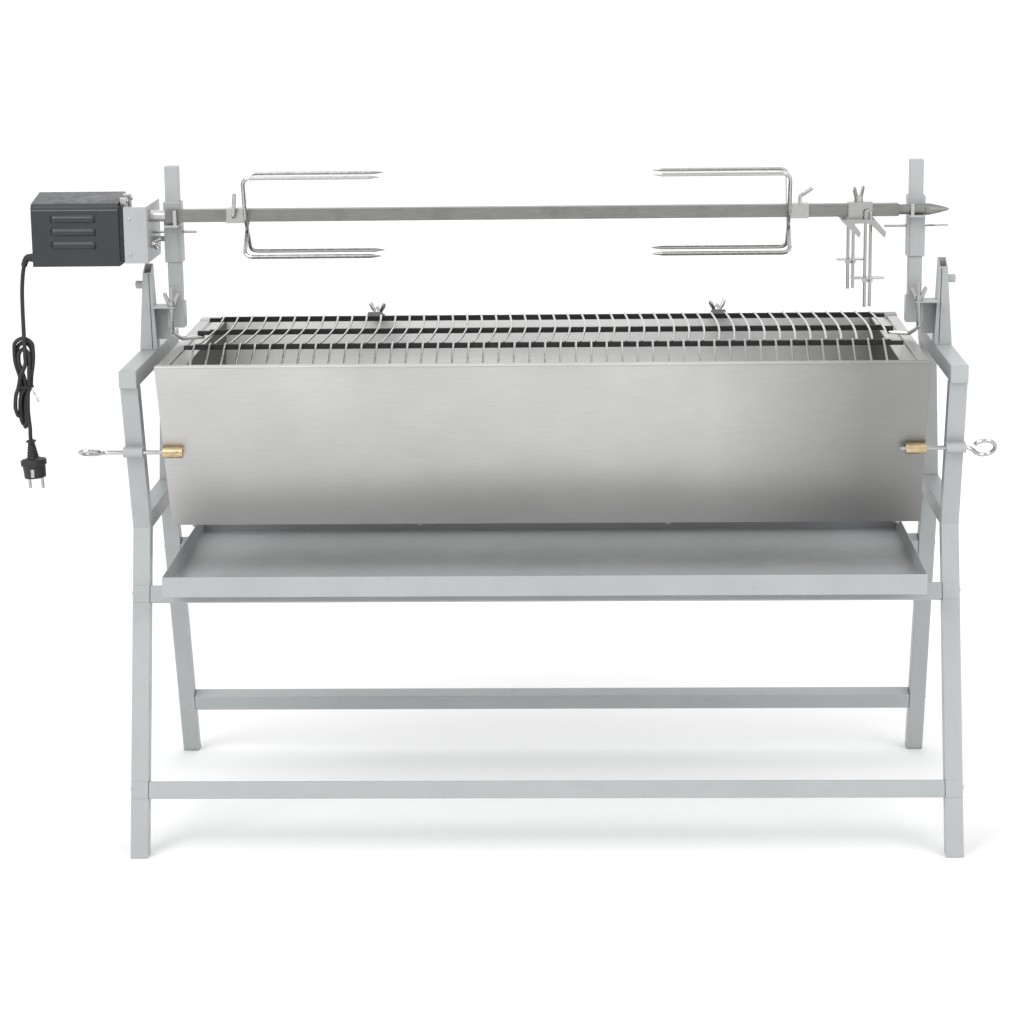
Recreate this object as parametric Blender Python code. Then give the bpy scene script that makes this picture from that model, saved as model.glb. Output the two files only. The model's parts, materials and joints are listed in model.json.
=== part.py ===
"""Charcoal spit roaster: folding-steel stand, stainless trough, grates, ash tray, spit and gear motor.

Metres, +Z up, +X to the free end of the spit, -Y to the cook. The stand's middle lies at STAND_X, so
that the whole object without its lead is centred on the world origin, with its feet on z = 0.
"""

import math

import bmesh
import bpy
from mathutils import Matrix, Vector

# ---------------------------------------------------------------- driving sizes
GAP = 0.0003                # between pieces that touch
STAND_WIDTH = 1.200         # over the outer faces of the legs
TUBE = 0.025                # square frame tube
TUBE_WALL = 0.0015
FOOT_Y = 0.275              # outer faces of the feet, front and rear
WAIST_Y = 0.136             # outer faces of the legs where they come closest
WAIST_Z = 0.459
SHOULDER_Y = 0.204
SHOULDER_Z = 0.702          # top of the side frames
WAIST_TUBE_Z = 0.4675       # middle of the tube across each waist
LOWER_BAR_Z = 0.094
UPPER_BAR_Z = 0.3665
LEG_X = STAND_WIDTH / 2 - TUBE / 2
INNER_X = STAND_WIDTH / 2 - TUBE

POST_X = 0.5445             # middle of the spit posts
POST = 0.020
POST_TOP = 0.973
SOCKET_BOTTOM = 0.735
SOCKET_TOP = 0.773
SLEEVE = 0.026
SLEEVE_WALL = 0.0025
SLEEVE_BOTTOM = 0.832
SLEEVE_TOP = 0.921
CARRIAGE_DOWN = 0.012       # travel of the sleeves on their posts
CARRIAGE_UP = 0.040

SPIT_Y = -0.030
SPIT_Z = 0.903
SPIT_BAR = 0.018            # square
SPIT_LEFT = -0.551          # ends of the square bar
SPIT_RIGHT = 0.516
JOURNAL_R = 0.0075
COLLAR_BORE = SPIT_BAR + 2 * GAP

RIM_X = 0.545               # half length of the trough
RIM_Z = 0.712
RIM_FRONT_Y = -0.230
RIM_REAR_Y = 0.2525         # outer edge of the rear rim
TROUGH_FLOOR_Z = 0.460
TROUGH_FLOOR_Y = 0.1225     # half width at the floor
SHEET = 0.0015
END_WALL_X = 0.502          # inner faces of the end walls

GRATE_Z = 0.725             # middle of the support bars
GRATE_BAR = 0.006
GRATE_ROD = 0.0035
GRATE_RODS = 46
GRATE_PITCH = 0.0219
FRONT_BAR_Y = -0.140
REAR_BAR_Y = 0.130
FRONT_ROD_SHIFT = 0.0062
BAR_LENGTH = 1.030

PIN_Z = 0.580               # eye pins that hold the trough to the front legs
PIN_Y = -0.1815
PIN_ROD = 0.006
BUSH_R = 0.0085

MOTOR_LEFT = -0.744
MOTOR_RIGHT = -0.616
MOTOR_FRONT = -0.060
MOTOR_BACK = 0.012
MOTOR_BOTTOM = 0.833
MOTOR_TOP = 0.925
EYE_PIN_LENGTH = 0.137
EYE_REACH = {"left": 0.667, "right": 0.646}     # outermost point of each eye pin
GLAND = 0.008               # of the lead, out of the motor's left side
STAND_X = -(MOTOR_LEFT - GLAND + EYE_REACH["right"]) / 2

GEAR_MODULE = 0.001
GEAR_TEETH = 30
PINION_TEETH = 10
GEAR_CENTRES = GEAR_MODULE * (GEAR_TEETH + PINION_TEETH) / 2

CORD_DIAMETER = 0.006

LOWER_LEAN = math.atan2(FOOT_Y - WAIST_Y, WAIST_Z)
UPPER_LEAN = math.atan2(SHOULDER_Y - WAIST_Y, SHOULDER_Z - WAIST_Z)
HANGER_X = 0.5490           # threaded rods that carry the grate
HANGER_Y = -0.0235
HEIGHT_PIN = 0.004
HEIGHT_PIN_Z = 0.8760
TRAY_Z = UPPER_BAR_Z + TUBE / 2 * math.cos(LOWER_LEAN) + GAP
REAR_NUT_X = 0.266
FORK_X = {"left": -0.4330, "right": 0.3580}     # inner ends of the collars
FORK_COLLAR = 0.028
FORK_SCREW = 0.006
TINE_LENGTH = 0.184         # of the parallel part, before the point
TINE_POINT = 0.014
TINE_WIRE = 0.006
TINE_Y = 0.037
TINE_Z = 0.057
CLAMP_X = (0.4430, 0.4780)
U_WIRE = 0.005
U_SPREAD_X = 0.0040
U_SPREAD_Y = 0.0030
U_BEND = math.hypot(U_SPREAD_X, U_SPREAD_Y)
U_OFFSET = 0.0180           # of each U-bolt, behind or in front of the spit's axis
U_BOLTS = (
    ("inner", CLAMP_X[0] + 0.0065, SPIT_Y + U_OFFSET, 0.786, 0.829, 0.020),
    ("outer", CLAMP_X[1] - 0.0070, SPIT_Y - U_OFFSET, 0.764, 0.806, 0.024),
)
TAIL = 0.010
SOCKET_R = 0.0085
BRACKET_X = -0.5745
BRACKET_LEFT = -0.6085
ROTOR_AXIS = (SPIT_Y, SPIT_Z - GEAR_CENTRES)
GEAR_X = (-0.6330, -0.6270)
STATOR_X = (-0.6950, -0.6550)
CORD_EXIT = (MOTOR_LEFT - GLAND, -0.030, 0.843)
HANK_X = -0.7705            # the tied hank of the lead
HANK_TOP = 0.7265
HANK_BOTTOM = 0.5865
HANK_WIDTH = 0.037
HANK_DEPTH = 0.022
PLUG_X = -0.7635
PLUG_TOP = 0.571

SIDES = (("left", -1), ("right", 1))

# ---------------------------------------------------------------- materials
PALETTE = {
    "frame_paint": ((0.56, 0.58, 0.58), 0.45, 0.0),
    "tray_paint": ((0.50, 0.52, 0.53), 0.50, 0.0),
    "stainless": ((0.62, 0.61, 0.59), 0.30, 1.0),
    "chrome": ((0.80, 0.80, 0.80), 0.12, 1.0),
    "dull_steel": ((0.36, 0.36, 0.34), 0.38, 1.0),
    "black_iron": ((0.025, 0.025, 0.026), 0.50, 0.0),
    "brass": ((0.62, 0.45, 0.22), 0.28, 1.0),
    "motor_paint": ((0.065, 0.075, 0.082), 0.40, 0.0),
    "motor_black": ((0.02, 0.022, 0.024), 0.50, 0.0),
    "zinc": ((0.52, 0.52, 0.50), 0.35, 1.0),
    "copper": ((0.55, 0.26, 0.14), 0.35, 1.0),
    "rubber_black": ((0.02, 0.02, 0.02), 0.60, 0.0),
}


def clear_scene():
    for obj in list(bpy.data.objects):
        bpy.data.objects.remove(obj, do_unlink=True)


def make_material(name):
    colour, roughness, metallic = PALETTE[name]
    found = bpy.data.materials.new(name)
    found.use_nodes = True
    shader = found.node_tree.nodes["Principled BSDF"]
    shader.inputs["Base Color"].default_value = (*colour, 1.0)
    shader.inputs["Roughness"].default_value = roughness
    shader.inputs["Metallic"].default_value = metallic
    return found


clear_scene()
MATERIALS = {name: make_material(name) for name in PALETTE}
STAND = bpy.data.objects.new("stand_centre", None)
STAND.location = (STAND_X, 0, 0)
bpy.context.scene.collection.objects.link(STAND)


# ---------------------------------------------------------------- mesh helpers
def add_object(name, bm, material, origin=(0, 0, 0)):
    """Turns a bmesh in stand coordinates into an object whose own origin is at origin."""
    bmesh.ops.recalc_face_normals(bm, faces=bm.faces)
    bmesh.ops.translate(bm, verts=bm.verts, vec=-Vector(origin))
    mesh = bpy.data.meshes.new(name)
    bm.to_mesh(mesh)
    bm.free()
    mesh.materials.append(MATERIALS[material])
    mesh.shade_smooth()
    mesh.set_sharp_from_angle(angle=math.radians(40))
    obj = bpy.data.objects.new(name, mesh)
    obj.location = origin
    obj.parent = STAND
    bpy.context.scene.collection.objects.link(obj)
    return obj


def combine(obj, others, operation="UNION"):
    """Adds other solids to obj, or cuts them from it, with Boolean modifiers."""
    for other in others:
        other.hide_render = True
        other.display_type = "WIRE"
        modifier = obj.modifiers.new(other.name, "BOOLEAN")
        modifier.operation = operation
        modifier.solver = "EXACT"
        modifier.object = other
    return obj


def box_bmesh(low, high):
    bm = bmesh.new()
    size = Vector(high) - Vector(low)
    middle = (Vector(high) + Vector(low)) / 2
    matrix = Matrix.Translation(middle) @ Matrix.Diagonal((*size, 1))
    bmesh.ops.create_cube(bm, size=1, matrix=matrix)
    return bm


def add_box(name, low, high, material="frame_paint", origin=(0, 0, 0)):
    return add_object(name, box_bmesh(low, high), material, origin)


def cylinder_bmesh(start, end, radius, sides=16, end_radius=None):
    start, end = Vector(start), Vector(end)
    along = end - start
    bm = bmesh.new()
    turn = along.to_track_quat("Z", "Y").to_matrix().to_4x4()
    bmesh.ops.create_cone(
        bm,
        cap_ends=True,
        segments=sides,
        radius1=radius,
        radius2=radius if end_radius is None else end_radius,
        depth=along.length,
        matrix=Matrix.Translation((start + end) / 2) @ turn,
    )
    return bm


def add_cylinder(name, start, end, radius, material="zinc", sides=16, origin=(0, 0, 0)):
    return add_object(name, cylinder_bmesh(start, end, radius, sides), material, origin)


def bridge(bm, rings, closed=False):
    """Joins each ring of vertices to the next with quads."""
    pairs = list(zip(rings, rings[1:] + rings[:1])) if closed else list(zip(rings, rings[1:]))
    for first, second in pairs:
        count = len(first)
        for i in range(count):
            j = (i + 1) % count
            bm.faces.new((first[i], first[j], second[j], second[i]))


def prism_bmesh(outline, axis, low, high):
    """Extrudes a closed outline along an axis. Its points are the other two coordinates, in X, Y, Z order."""
    def place(point, along):
        values = list(point)
        values.insert(axis, along)
        return Vector(values)

    bm = bmesh.new()
    first = [bm.verts.new(place(point, low)) for point in outline]
    last = [bm.verts.new(place(point, high)) for point in outline]
    bridge(bm, [first, last])
    bm.faces.new(first)
    bm.faces.new(reversed(last))
    return bm


def lathe_bmesh(profile, sides=24):
    """Turns (x, radius) pairs about the spit's axis. Profiles that start and end at radius 0 are solid."""
    bm = bmesh.new()
    rings = []
    for x, radius in profile:
        if radius == 0:
            rings.append([bm.verts.new((x, SPIT_Y, SPIT_Z))])
            continue
        angles = [2 * math.pi * i / sides for i in range(sides)]
        rings.append(
            [
                bm.verts.new((x, SPIT_Y + radius * math.cos(a), SPIT_Z + radius * math.sin(a)))
                for a in angles
            ]
        )
    for first, second in zip(rings, rings[1:]):
        for i in range(sides):
            j = (i + 1) % sides
            corners = [first[0]] if len(first) == 1 else [first[i], first[j]]
            corners += [second[0]] if len(second) == 1 else [second[j], second[i]]
            bm.faces.new(corners)
    return bm


def sweep(bm, points, radius, sides=8, closed=False, end_radius=None):
    """A round wire along a list of points, as one closed tube with flat ends or a closed loop."""
    points = [Vector(point) for point in points]
    count = len(points)
    radii = [radius] * count
    if end_radius is not None:
        radii[0] = radii[-1] = end_radius
    tangents = []
    for i in range(count):
        before = points[i - 1] if i or closed else points[i]
        after = points[(i + 1) % count] if i < count - 1 or closed else points[i]
        tangents.append((after - before).normalized())
    side = tangents[0].orthogonal().normalized()
    rings = []
    for point, tangent, reach in zip(points, tangents, radii):
        side = (side - tangent * side.dot(tangent)).normalized()
        across = tangent.cross(side)
        rings.append(
            [
                bm.verts.new(point + reach * (side * math.cos(a) + across * math.sin(a)))
                for a in (2 * math.pi * i / sides for i in range(sides))
            ]
        )
    bridge(bm, rings, closed)
    if not closed:
        bm.faces.new(reversed(rings[0]))
        bm.faces.new(rings[-1])


def add_wire(name, points, diameter, material="chrome", sides=8, closed=False, origin=(0, 0, 0)):
    bm = bmesh.new()
    sweep(bm, points, diameter / 2, sides, closed)
    return add_object(name, bm, material, origin)


def rounded_path(corners, radius, steps=4):
    """The polyline through the corners, with each inner corner replaced by an arc."""
    corners = [Vector(corner) for corner in corners]
    path = [corners[0]]
    for before, corner, after in zip(corners, corners[1:], corners[2:]):
        back = (before - corner).normalized()
        onward = (after - corner).normalized()
        half = back.angle(onward) / 2
        reach = radius / math.tan(half)
        centre = corner + (back + onward).normalized() * radius / math.sin(half)
        start = corner + back * reach - centre
        end = corner + onward * reach - centre
        sweep_angle = start.angle(end)
        for i in range(steps + 1):
            share = i / steps
            weight_start = math.sin((1 - share) * sweep_angle) / math.sin(sweep_angle)
            weight_end = math.sin(share * sweep_angle) / math.sin(sweep_angle)
            path.append(centre + start * weight_start + end * weight_end)
    path.append(corners[-1])
    return path


def square_tube_bmesh(path, lateral, size=TUBE, wall=TUBE_WALL, end_normals=(None, None)):
    """A hollow square tube along a flat polyline, mitred at its corners and open at both ends.

    lateral is the direction that two of its sides face. end_normals tilt the cuts at the ends.
    """
    path = [Vector(point) for point in path]
    lateral = Vector(lateral)
    legs = [(b - a).normalized() for a, b in zip(path, path[1:])]
    bm = bmesh.new()
    outer, inner = [], []
    for i, point in enumerate(path):
        leg = legs[min(i, len(legs) - 1)]
        if i == 0:
            normal = end_normals[0] or leg
        elif i == len(path) - 1:
            normal = end_normals[1] or leg
        else:
            normal = (legs[i - 1] + legs[i]).normalized()
        across = leg.cross(lateral)
        slope = Vector(normal).cross(lateral).normalized()
        slope /= slope.dot(across)
        for rings, half in ((outer, size / 2), (inner, size / 2 - wall)):
            corners = ((-half, -half), (half, -half), (half, half), (-half, half))
            rings.append([bm.verts.new(point + lateral * a + slope * b) for a, b in corners])
    bridge(bm, outer)
    bridge(bm, inner)
    bridge(bm, [outer[0], inner[0]])
    bridge(bm, [outer[-1], inner[-1]])
    return bm


def sheet_outline(line, thickness):
    """A folded sheet's closed outline: the line, and the line offset to its left by the thickness."""
    points = [Vector(point) for point in line]
    offset = []
    for i, point in enumerate(points):
        before = (point - points[i - 1]).normalized() if i else None
        after = (points[i + 1] - point).normalized() if i < len(points) - 1 else None
        normals = [Vector((-d.y, d.x)) for d in (before, after) if d is not None]
        middle = sum(normals, Vector((0, 0))).normalized()
        offset.append(point + middle * thickness / middle.dot(normals[0]))
    return [tuple(point) for point in points + offset[::-1]]


def add_folded_sheet(name, line, axis, low, high, material, thickness=SHEET):
    bm = prism_bmesh(sheet_outline(line, thickness), axis, low, high)
    return add_object(name, bm, material)


def gear_outline(teeth, centre, phase):
    """Tapered teeth with running clearance, about centre = (y, z)."""
    pitch_radius = GEAR_MODULE * teeth / 2
    tooth = 2 * math.pi / teeth
    corners = ((-0.26, -1.20), (-0.08, 0.75), (0.08, 0.75), (0.26, -1.20))
    return [
        (
            centre[0] + (pitch_radius + depth * GEAR_MODULE) * math.cos(phase + (i + share) * tooth),
            centre[1] + (pitch_radius + depth * GEAR_MODULE) * math.sin(phase + (i + share) * tooth),
        )
        for i in range(teeth)
        for share, depth in corners
    ]


# ---------------------------------------------------------------- stand
def leg_face_y(z):
    """Distance of the legs' outer faces from the middle plane at a height."""
    if z < WAIST_Z:
        return FOOT_Y + (WAIST_Y - FOOT_Y) * z / WAIST_Z
    return WAIST_Y + (SHOULDER_Y - WAIST_Y) * (z - WAIST_Z) / (SHOULDER_Z - WAIST_Z)




def build_leg(end, end_sign, side, side_sign):
    """A leg bent at the waist, cut level at the floor and under the shoulder tube."""
    lower_back = TUBE / 2 / math.cos(LOWER_LEAN)
    upper_back = TUBE / 2 / math.cos(UPPER_LEAN)
    mitre = (LOWER_LEAN - UPPER_LEAN) / 2
    waist_back = TUBE / 2 / math.cos((LOWER_LEAN + UPPER_LEAN) / 2)
    top_z = SHOULDER_Z - TUBE - GAP
    x = side_sign * LEG_X
    path = [
        (x, end_sign * (FOOT_Y - lower_back), 0),
        (x, end_sign * (WAIST_Y - waist_back * math.cos(mitre)), WAIST_Z - waist_back * math.sin(mitre)),
        (x, end_sign * (leg_face_y(top_z) - upper_back), top_z),
    ]
    level = (Vector((0, 0, 1)), Vector((0, 0, 1)))
    bm = square_tube_bmesh(path, (1, 0, 0), end_normals=level)
    leg = add_object(f"{end}_leg_{side}", bm, "frame_paint")
    if end == "front":
        combine(leg, [pin_guide(side_sign)])
        combine(leg, [pin_bore(side_sign, "leg")], "DIFFERENCE")


def pin_guide(side_sign):
    """The short guide welded to a front leg, which the eye pin slides through."""
    face = -leg_face_y(PIN_Z) + 0.0006
    radius = 0.0073
    outline = [(face, PIN_Z - radius), (face, PIN_Z + radius)]
    for i in range(9):
        angle = math.pi / 2 + math.pi * i / 8
        outline.append((PIN_Y + radius * math.cos(angle), PIN_Z + radius * math.sin(angle)))
    middle = side_sign * LEG_X
    bm = prism_bmesh(outline, 0, middle - 0.014, middle + 0.014)
    return add_object(f"guide_block_{side_sign}", bm, "frame_paint")


def pin_bore(side_sign, what):
    ends = ((side_sign * x, PIN_Y, PIN_Z) for x in (0.50, 0.64))
    return add_cylinder(f"pin_bore_{what}_{side_sign}", *ends, PIN_ROD / 2 + GAP, sides=12)


def build_shoulder_tube(side, side_sign):
    z = SHOULDER_Z - TUBE / 2
    reach = SHOULDER_Y
    path = [(side_sign * LEG_X, -reach, z), (side_sign * LEG_X, reach, z)]
    add_object(f"shoulder_tube_{side}", square_tube_bmesh(path, (1, 0, 0)), "frame_paint")


def build_waist_tube(side, side_sign):
    """Cut to the slope of the upper legs at both ends."""
    lean = Vector((0, math.cos(UPPER_LEAN), -math.sin(UPPER_LEAN)))
    reach = leg_face_y(WAIST_TUBE_Z) - TUBE / math.cos(UPPER_LEAN) - GAP
    path = [(side_sign * LEG_X, -reach, WAIST_TUBE_Z), (side_sign * LEG_X, reach, WAIST_TUBE_Z)]
    mirrored = Vector((0, lean.y, -lean.z))
    bm = square_tube_bmesh(path, (1, 0, 0), end_normals=(mirrored, lean))
    add_object(f"waist_tube_{side}", bm, "frame_paint")


def build_cross_bar(name, end_sign, z):
    """A bar between the legs of one end, flush with their outer faces and leaning with them."""
    along = Vector((0, -end_sign * math.sin(LOWER_LEAN), math.cos(LOWER_LEAN)))
    inward = Vector((0, -end_sign * math.cos(LOWER_LEAN), -math.sin(LOWER_LEAN)))
    centre = Vector((0, end_sign * leg_face_y(z), z)) + inward * TUBE / 2
    reach = Vector((INNER_X - GAP, 0, 0))
    bm = square_tube_bmesh([centre - reach, centre + reach], along)
    add_object(name, bm, "frame_paint")


def build_upright(side, side_sign):
    """Tapered hollow upright on the shoulder tube, with the plate, tab and socket that carry the post."""
    def ring(bm, middle_x, half_x, half_y, front_z, back_z):
        corners = ((-1, -1), (1, -1), (1, 1), (-1, 1))
        return [
            bm.verts.new((middle_x + half_x * a, half_y * b, front_z if b < 0 else back_z))
            for a, b in corners
        ]

    bm = bmesh.new()
    base_x, top_x = side_sign * 0.587, side_sign * 0.5855
    base_z = SHOULDER_Z + GAP
    outer = [ring(bm, base_x, 0.013, 0.0125, base_z, base_z), ring(bm, top_x, 0.0062, 0.0125, 0.817, 0.828)]
    inner = [ring(bm, base_x, 0.0112, 0.0107, base_z, base_z), ring(bm, top_x, 0.0044, 0.0107, 0.817, 0.828)]
    bridge(bm, outer)
    bridge(bm, inner)
    bridge(bm, [outer[0], inner[0]])
    bridge(bm, [outer[1], inner[1]])
    upright = add_object(f"upright_{side}", bm, "frame_paint")

    socket_half = TUBE / 2
    plate = add_folded_sheet(
        f"post_plate_{side}",
        [(-0.034, 0.7665), (0.004, 0.7665), (0.004, 0.7160)],
        0,
        *sorted((side_sign * 0.5560, side_sign * 0.5775)),
        "frame_paint",
        0.002,
    )
    tab = add_box(
        f"hanger_tab_{side}",
        (side_sign * 0.5515 - 0.008, -0.034, 0.7665),
        (side_sign * 0.5515 + 0.008, -0.012, 0.7685),
    )
    tab_hole = add_cylinder(
        f"tab_hole_{side}", (side_sign * HANGER_X, HANGER_Y, 0.76), (side_sign * HANGER_X, HANGER_Y, 0.78), 0.0036
    )
    socket = add_box(
        f"post_socket_{side}",
        (side_sign * POST_X - socket_half, -socket_half, SOCKET_BOTTOM),
        (side_sign * POST_X + socket_half, socket_half, SOCKET_TOP),
    )
    half = POST / 2 + GAP
    bore = add_box(
        f"socket_bore_{side}",
        (side_sign * POST_X - half, -half, SOCKET_BOTTOM + 0.002),
        (side_sign * POST_X + half, half, SOCKET_TOP + 0.01),
    )
    bolt = add_cylinder(
        f"upright_bolt_{side}", (side_sign * 0.586, 0, 0.798), (side_sign * 0.6045, 0, 0.798), 0.006, sides=6
    )
    combine(upright, [plate, tab, socket, bolt])
    combine(upright, [tab_hole, bore], "DIFFERENCE")


def build_post(side, side_sign):
    """Square tube with a closed top, and a slot in both sides for the height pin."""
    x, half = side_sign * POST_X, POST / 2
    bottom = SOCKET_BOTTOM + 0.002 + GAP
    post = add_box(f"post_{side}", (x - half, -half, bottom), (x + half, half, POST_TOP))
    inside = half - 0.0015
    bore = add_box(f"post_bore_{side}", (x - inside, -inside, 0.70), (x + inside, inside, POST_TOP - 0.002))
    slot = add_box(
        f"post_slot_{side}",
        (x - 0.02, -0.0026, HEIGHT_PIN_Z - CARRIAGE_DOWN - 0.0026),
        (x + 0.02, 0.0026, HEIGHT_PIN_Z + CARRIAGE_UP + 0.0026),
    )
    combine(post, [bore, slot], "DIFFERENCE")


# ---------------------------------------------------------------- trough
def panel_y(z):
    """Outer face of the front panel, measured back from the front rim."""
    share = (RIM_Z - z) / (RIM_Z - TROUGH_FLOOR_Z)
    return RIM_FRONT_Y + (-TROUGH_FLOOR_Y - RIM_FRONT_Y) * share


def build_trough():
    front = [
        (RIM_FRONT_Y + 0.016, RIM_Z - 0.006),
        (RIM_FRONT_Y + 0.016, RIM_Z),
        (RIM_FRONT_Y, RIM_Z),
        (-TROUGH_FLOOR_Y, TROUGH_FLOOR_Z),
        (-TROUGH_FLOOR_Y + 0.016, TROUGH_FLOOR_Z),
    ]
    add_folded_sheet("trough_front_panel", front, 0, -RIM_X, RIM_X, "stainless")
    rear_top = -RIM_FRONT_Y
    rear = [
        (TROUGH_FLOOR_Y - 0.016, TROUGH_FLOOR_Z),
        (TROUGH_FLOOR_Y, TROUGH_FLOOR_Z),
        (rear_top, RIM_Z - SHEET),
        (RIM_REAR_Y, RIM_Z - SHEET),
        (RIM_REAR_Y, RIM_Z - 0.008),
    ]
    add_folded_sheet("trough_rear_panel", rear, 0, -RIM_X, RIM_X, "stainless")
    floor_z = TROUGH_FLOOR_Z + SHEET + GAP
    half_y = TROUGH_FLOOR_Y - SHEET / math.cos(math.atan2(0.1075, 0.252)) - 0.0012
    floor = add_box(
        "trough_floor",
        (-END_WALL_X + GAP, -half_y, floor_z),
        (END_WALL_X - GAP, half_y, floor_z + SHEET),
        "stainless",
    )
    slots = [
        add_box(f"ash_slot_{i}", (x - 0.05, y - 0.004, 0.44), (x + 0.05, y + 0.004, 0.48))
        for i, (x, y) in enumerate((x, y) for x in (-0.375, -0.125, 0.125, 0.375) for y in (-0.06, 0, 0.06))
    ]
    combine(floor, slots, "DIFFERENCE")


def build_trough_end(side, side_sign):
    """The end wall, with its grooved flange out to the end of the rim."""
    def inside(z):
        return abs(panel_y(z)) - 0.0024

    top, floor_z = RIM_Z - SHEET - GAP, TROUGH_FLOOR_Z + SHEET + GAP
    lip_y, lip_z = RIM_FRONT_Y + 0.0175, RIM_Z - 0.0075
    outline = [
        (lip_y, top),
        (lip_y, lip_z),
        (-inside(lip_z), lip_z),
        (-inside(floor_z), floor_z),
        (inside(floor_z), floor_z),
        (inside(lip_z), lip_z),
        (inside(lip_z), top),
    ]
    inner_x = side_sign * END_WALL_X
    wall_range = sorted((inner_x, inner_x + side_sign * SHEET))
    wall = add_object(f"trough_end_{side}", prism_bmesh(outline, 0, *wall_range), "stainless")
    step = 0.004
    z = top
    profile = [
        (END_WALL_X, z),
        (END_WALL_X + 0.020, z),
        (END_WALL_X + 0.0215, z - step),
        (END_WALL_X + 0.0255, z - step),
        (END_WALL_X + 0.027, z),
        (RIM_X - GAP, z),
        (RIM_X - GAP, z - 0.010),
    ]
    line = [(side_sign * x, height) for x, height in profile]
    if side_sign > 0:
        line.reverse()
    flange = add_folded_sheet(f"end_flange_{side}", line, 1, lip_y, inside(top - 0.012), "stainless")
    combine(wall, [flange])


def build_bush(side, side_sign):
    """Brass bush that receives the eye pin, with a flat against the front panel."""
    run = Vector((-TROUGH_FLOOR_Y - RIM_FRONT_Y, TROUGH_FLOOR_Z - RIM_Z)).normalized()
    inward = Vector((-run.y, run.x))
    to_panel = inward.dot(Vector((panel_y(PIN_Z) - PIN_Y, 0))) - GAP
    outline = []
    for i in range(20):
        angle = 2 * math.pi * i / 20
        point = BUSH_R * Vector((math.cos(angle), math.sin(angle)))
        point -= inward * max(0.0, point.dot(inward) - to_panel)
        outline.append((PIN_Y + point.x, PIN_Z + point.y))
    x_range = sorted((side_sign * 0.516, side_sign * RIM_X))
    bush = add_object(f"pin_bush_{side}", prism_bmesh(outline, 0, *x_range), "brass")
    combine(bush, [pin_bore(side_sign, "bush")], "DIFFERENCE")


def build_eye_pin(side, side_sign):
    """A rod with its outer end rolled into an eye."""
    eye_radius = 0.0155
    centre_x = EYE_REACH[side] - PIN_ROD / 2 - eye_radius
    points = [(EYE_REACH[side] - EYE_PIN_LENGTH, 0), (centre_x - 0.024, 0), (centre_x - 0.019, -0.0015)]
    for i in range(15):
        angle = math.radians(205 + i * 22)
        points.append((centre_x + eye_radius * math.cos(angle), eye_radius * math.sin(angle)))
    turn = 0.35 if side_sign < 0 else 0.9
    path = [
        (side_sign * x, PIN_Y - rise * math.cos(turn), PIN_Z + rise * math.sin(turn))
        for x, rise in points
    ]
    add_wire(f"eye_pin_{side}", path, PIN_ROD, "chrome", 8)


def build_tray():
    """Open ash tray with four upright walls, folded from one sheet."""
    low, high = (-RIM_X, -0.235, TRAY_Z), (RIM_X, 0.190, TRAY_Z + 0.0295)
    tray = add_box("ash_tray", low, high, "tray_paint")
    wall = 0.0015
    inner_low = (low[0] + wall, low[1] + wall, low[2] + wall)
    inner_high = (high[0] - wall, high[1] - wall, high[2] + 0.01)
    combine(tray, [add_box("tray_inside", inner_low, inner_high)], "DIFFERENCE")


# ---------------------------------------------------------------- grates
def rod_positions():
    first = -GRATE_PITCH * (GRATE_RODS - 1) / 2
    return [first + i * GRATE_PITCH for i in range(GRATE_RODS)]


def build_grates():
    """Long rods over the fire, and the short sloping rods from the front bar down to the front rim.

    Each grate's rods are joined by thin weld strips that lie on the support bars.
    """
    strip_low = GRATE_Z + GRATE_BAR / 2 + GAP
    strip_high = strip_low + 0.0014
    rod_z = strip_low + GRATE_ROD / 2 - 0.0001
    half_bar = GRATE_BAR / 2
    reach = -rod_positions()[0] + 0.004
    bow = 0.006
    front_y, rear_y = FRONT_BAR_Y + 0.0005, REAR_BAR_Y + half_bar + 0.002
    bm = bmesh.new()
    for x in rod_positions():
        shares = [i / 6 for i in range(7)]
        path = [(x + bow * math.sin(math.pi * t), front_y + (rear_y - front_y) * t, rod_z) for t in shares]
        sweep(bm, path, GRATE_ROD / 2, 6)
    rods = add_object("main_grate", bm, "chrome")
    strips = [
        add_box(f"weld_strip_{i}", (-reach, y - half_bar, strip_low), (reach, y + half_bar, strip_high))
        for i, y in enumerate((0.0, REAR_BAR_Y))
    ]
    combine(rods, strips)

    bm = bmesh.new()
    path = [
        Vector((0, FRONT_BAR_Y + half_bar - 0.0005, rod_z)),
        Vector((0, FRONT_BAR_Y - half_bar, rod_z)),
        Vector((0, RIM_FRONT_Y + 0.0082, 0.6987)),
    ]
    for x in rod_positions():
        sweep(bm, [point + Vector((x - FRONT_ROD_SHIFT, 0, 0)) for point in path], GRATE_ROD / 2, 6)
    short = add_object("front_grate", bm, "chrome")
    strip = add_box(
        "front_strip", (-reach - 0.004, FRONT_BAR_Y - half_bar, strip_low), (reach, FRONT_BAR_Y - GAP, strip_high)
    )
    low = path[1].lerp(path[2], 0.93) - Vector((0, 0, 0.0025))
    wire = add_wire(
        "front_wire", [low - Vector((reach + 0.004, 0, 0)), low + Vector((reach, 0, 0))], 0.003, sides=6
    )
    combine(short, [strip, wire])


def build_grate_bar(name, y):
    low = (-BAR_LENGTH / 2, y - GRATE_BAR / 2, GRATE_Z - GRATE_BAR / 2)
    high = (BAR_LENGTH / 2, y + GRATE_BAR / 2, GRATE_Z + GRATE_BAR / 2)
    return add_box(name, low, high, "black_iron")


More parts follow.
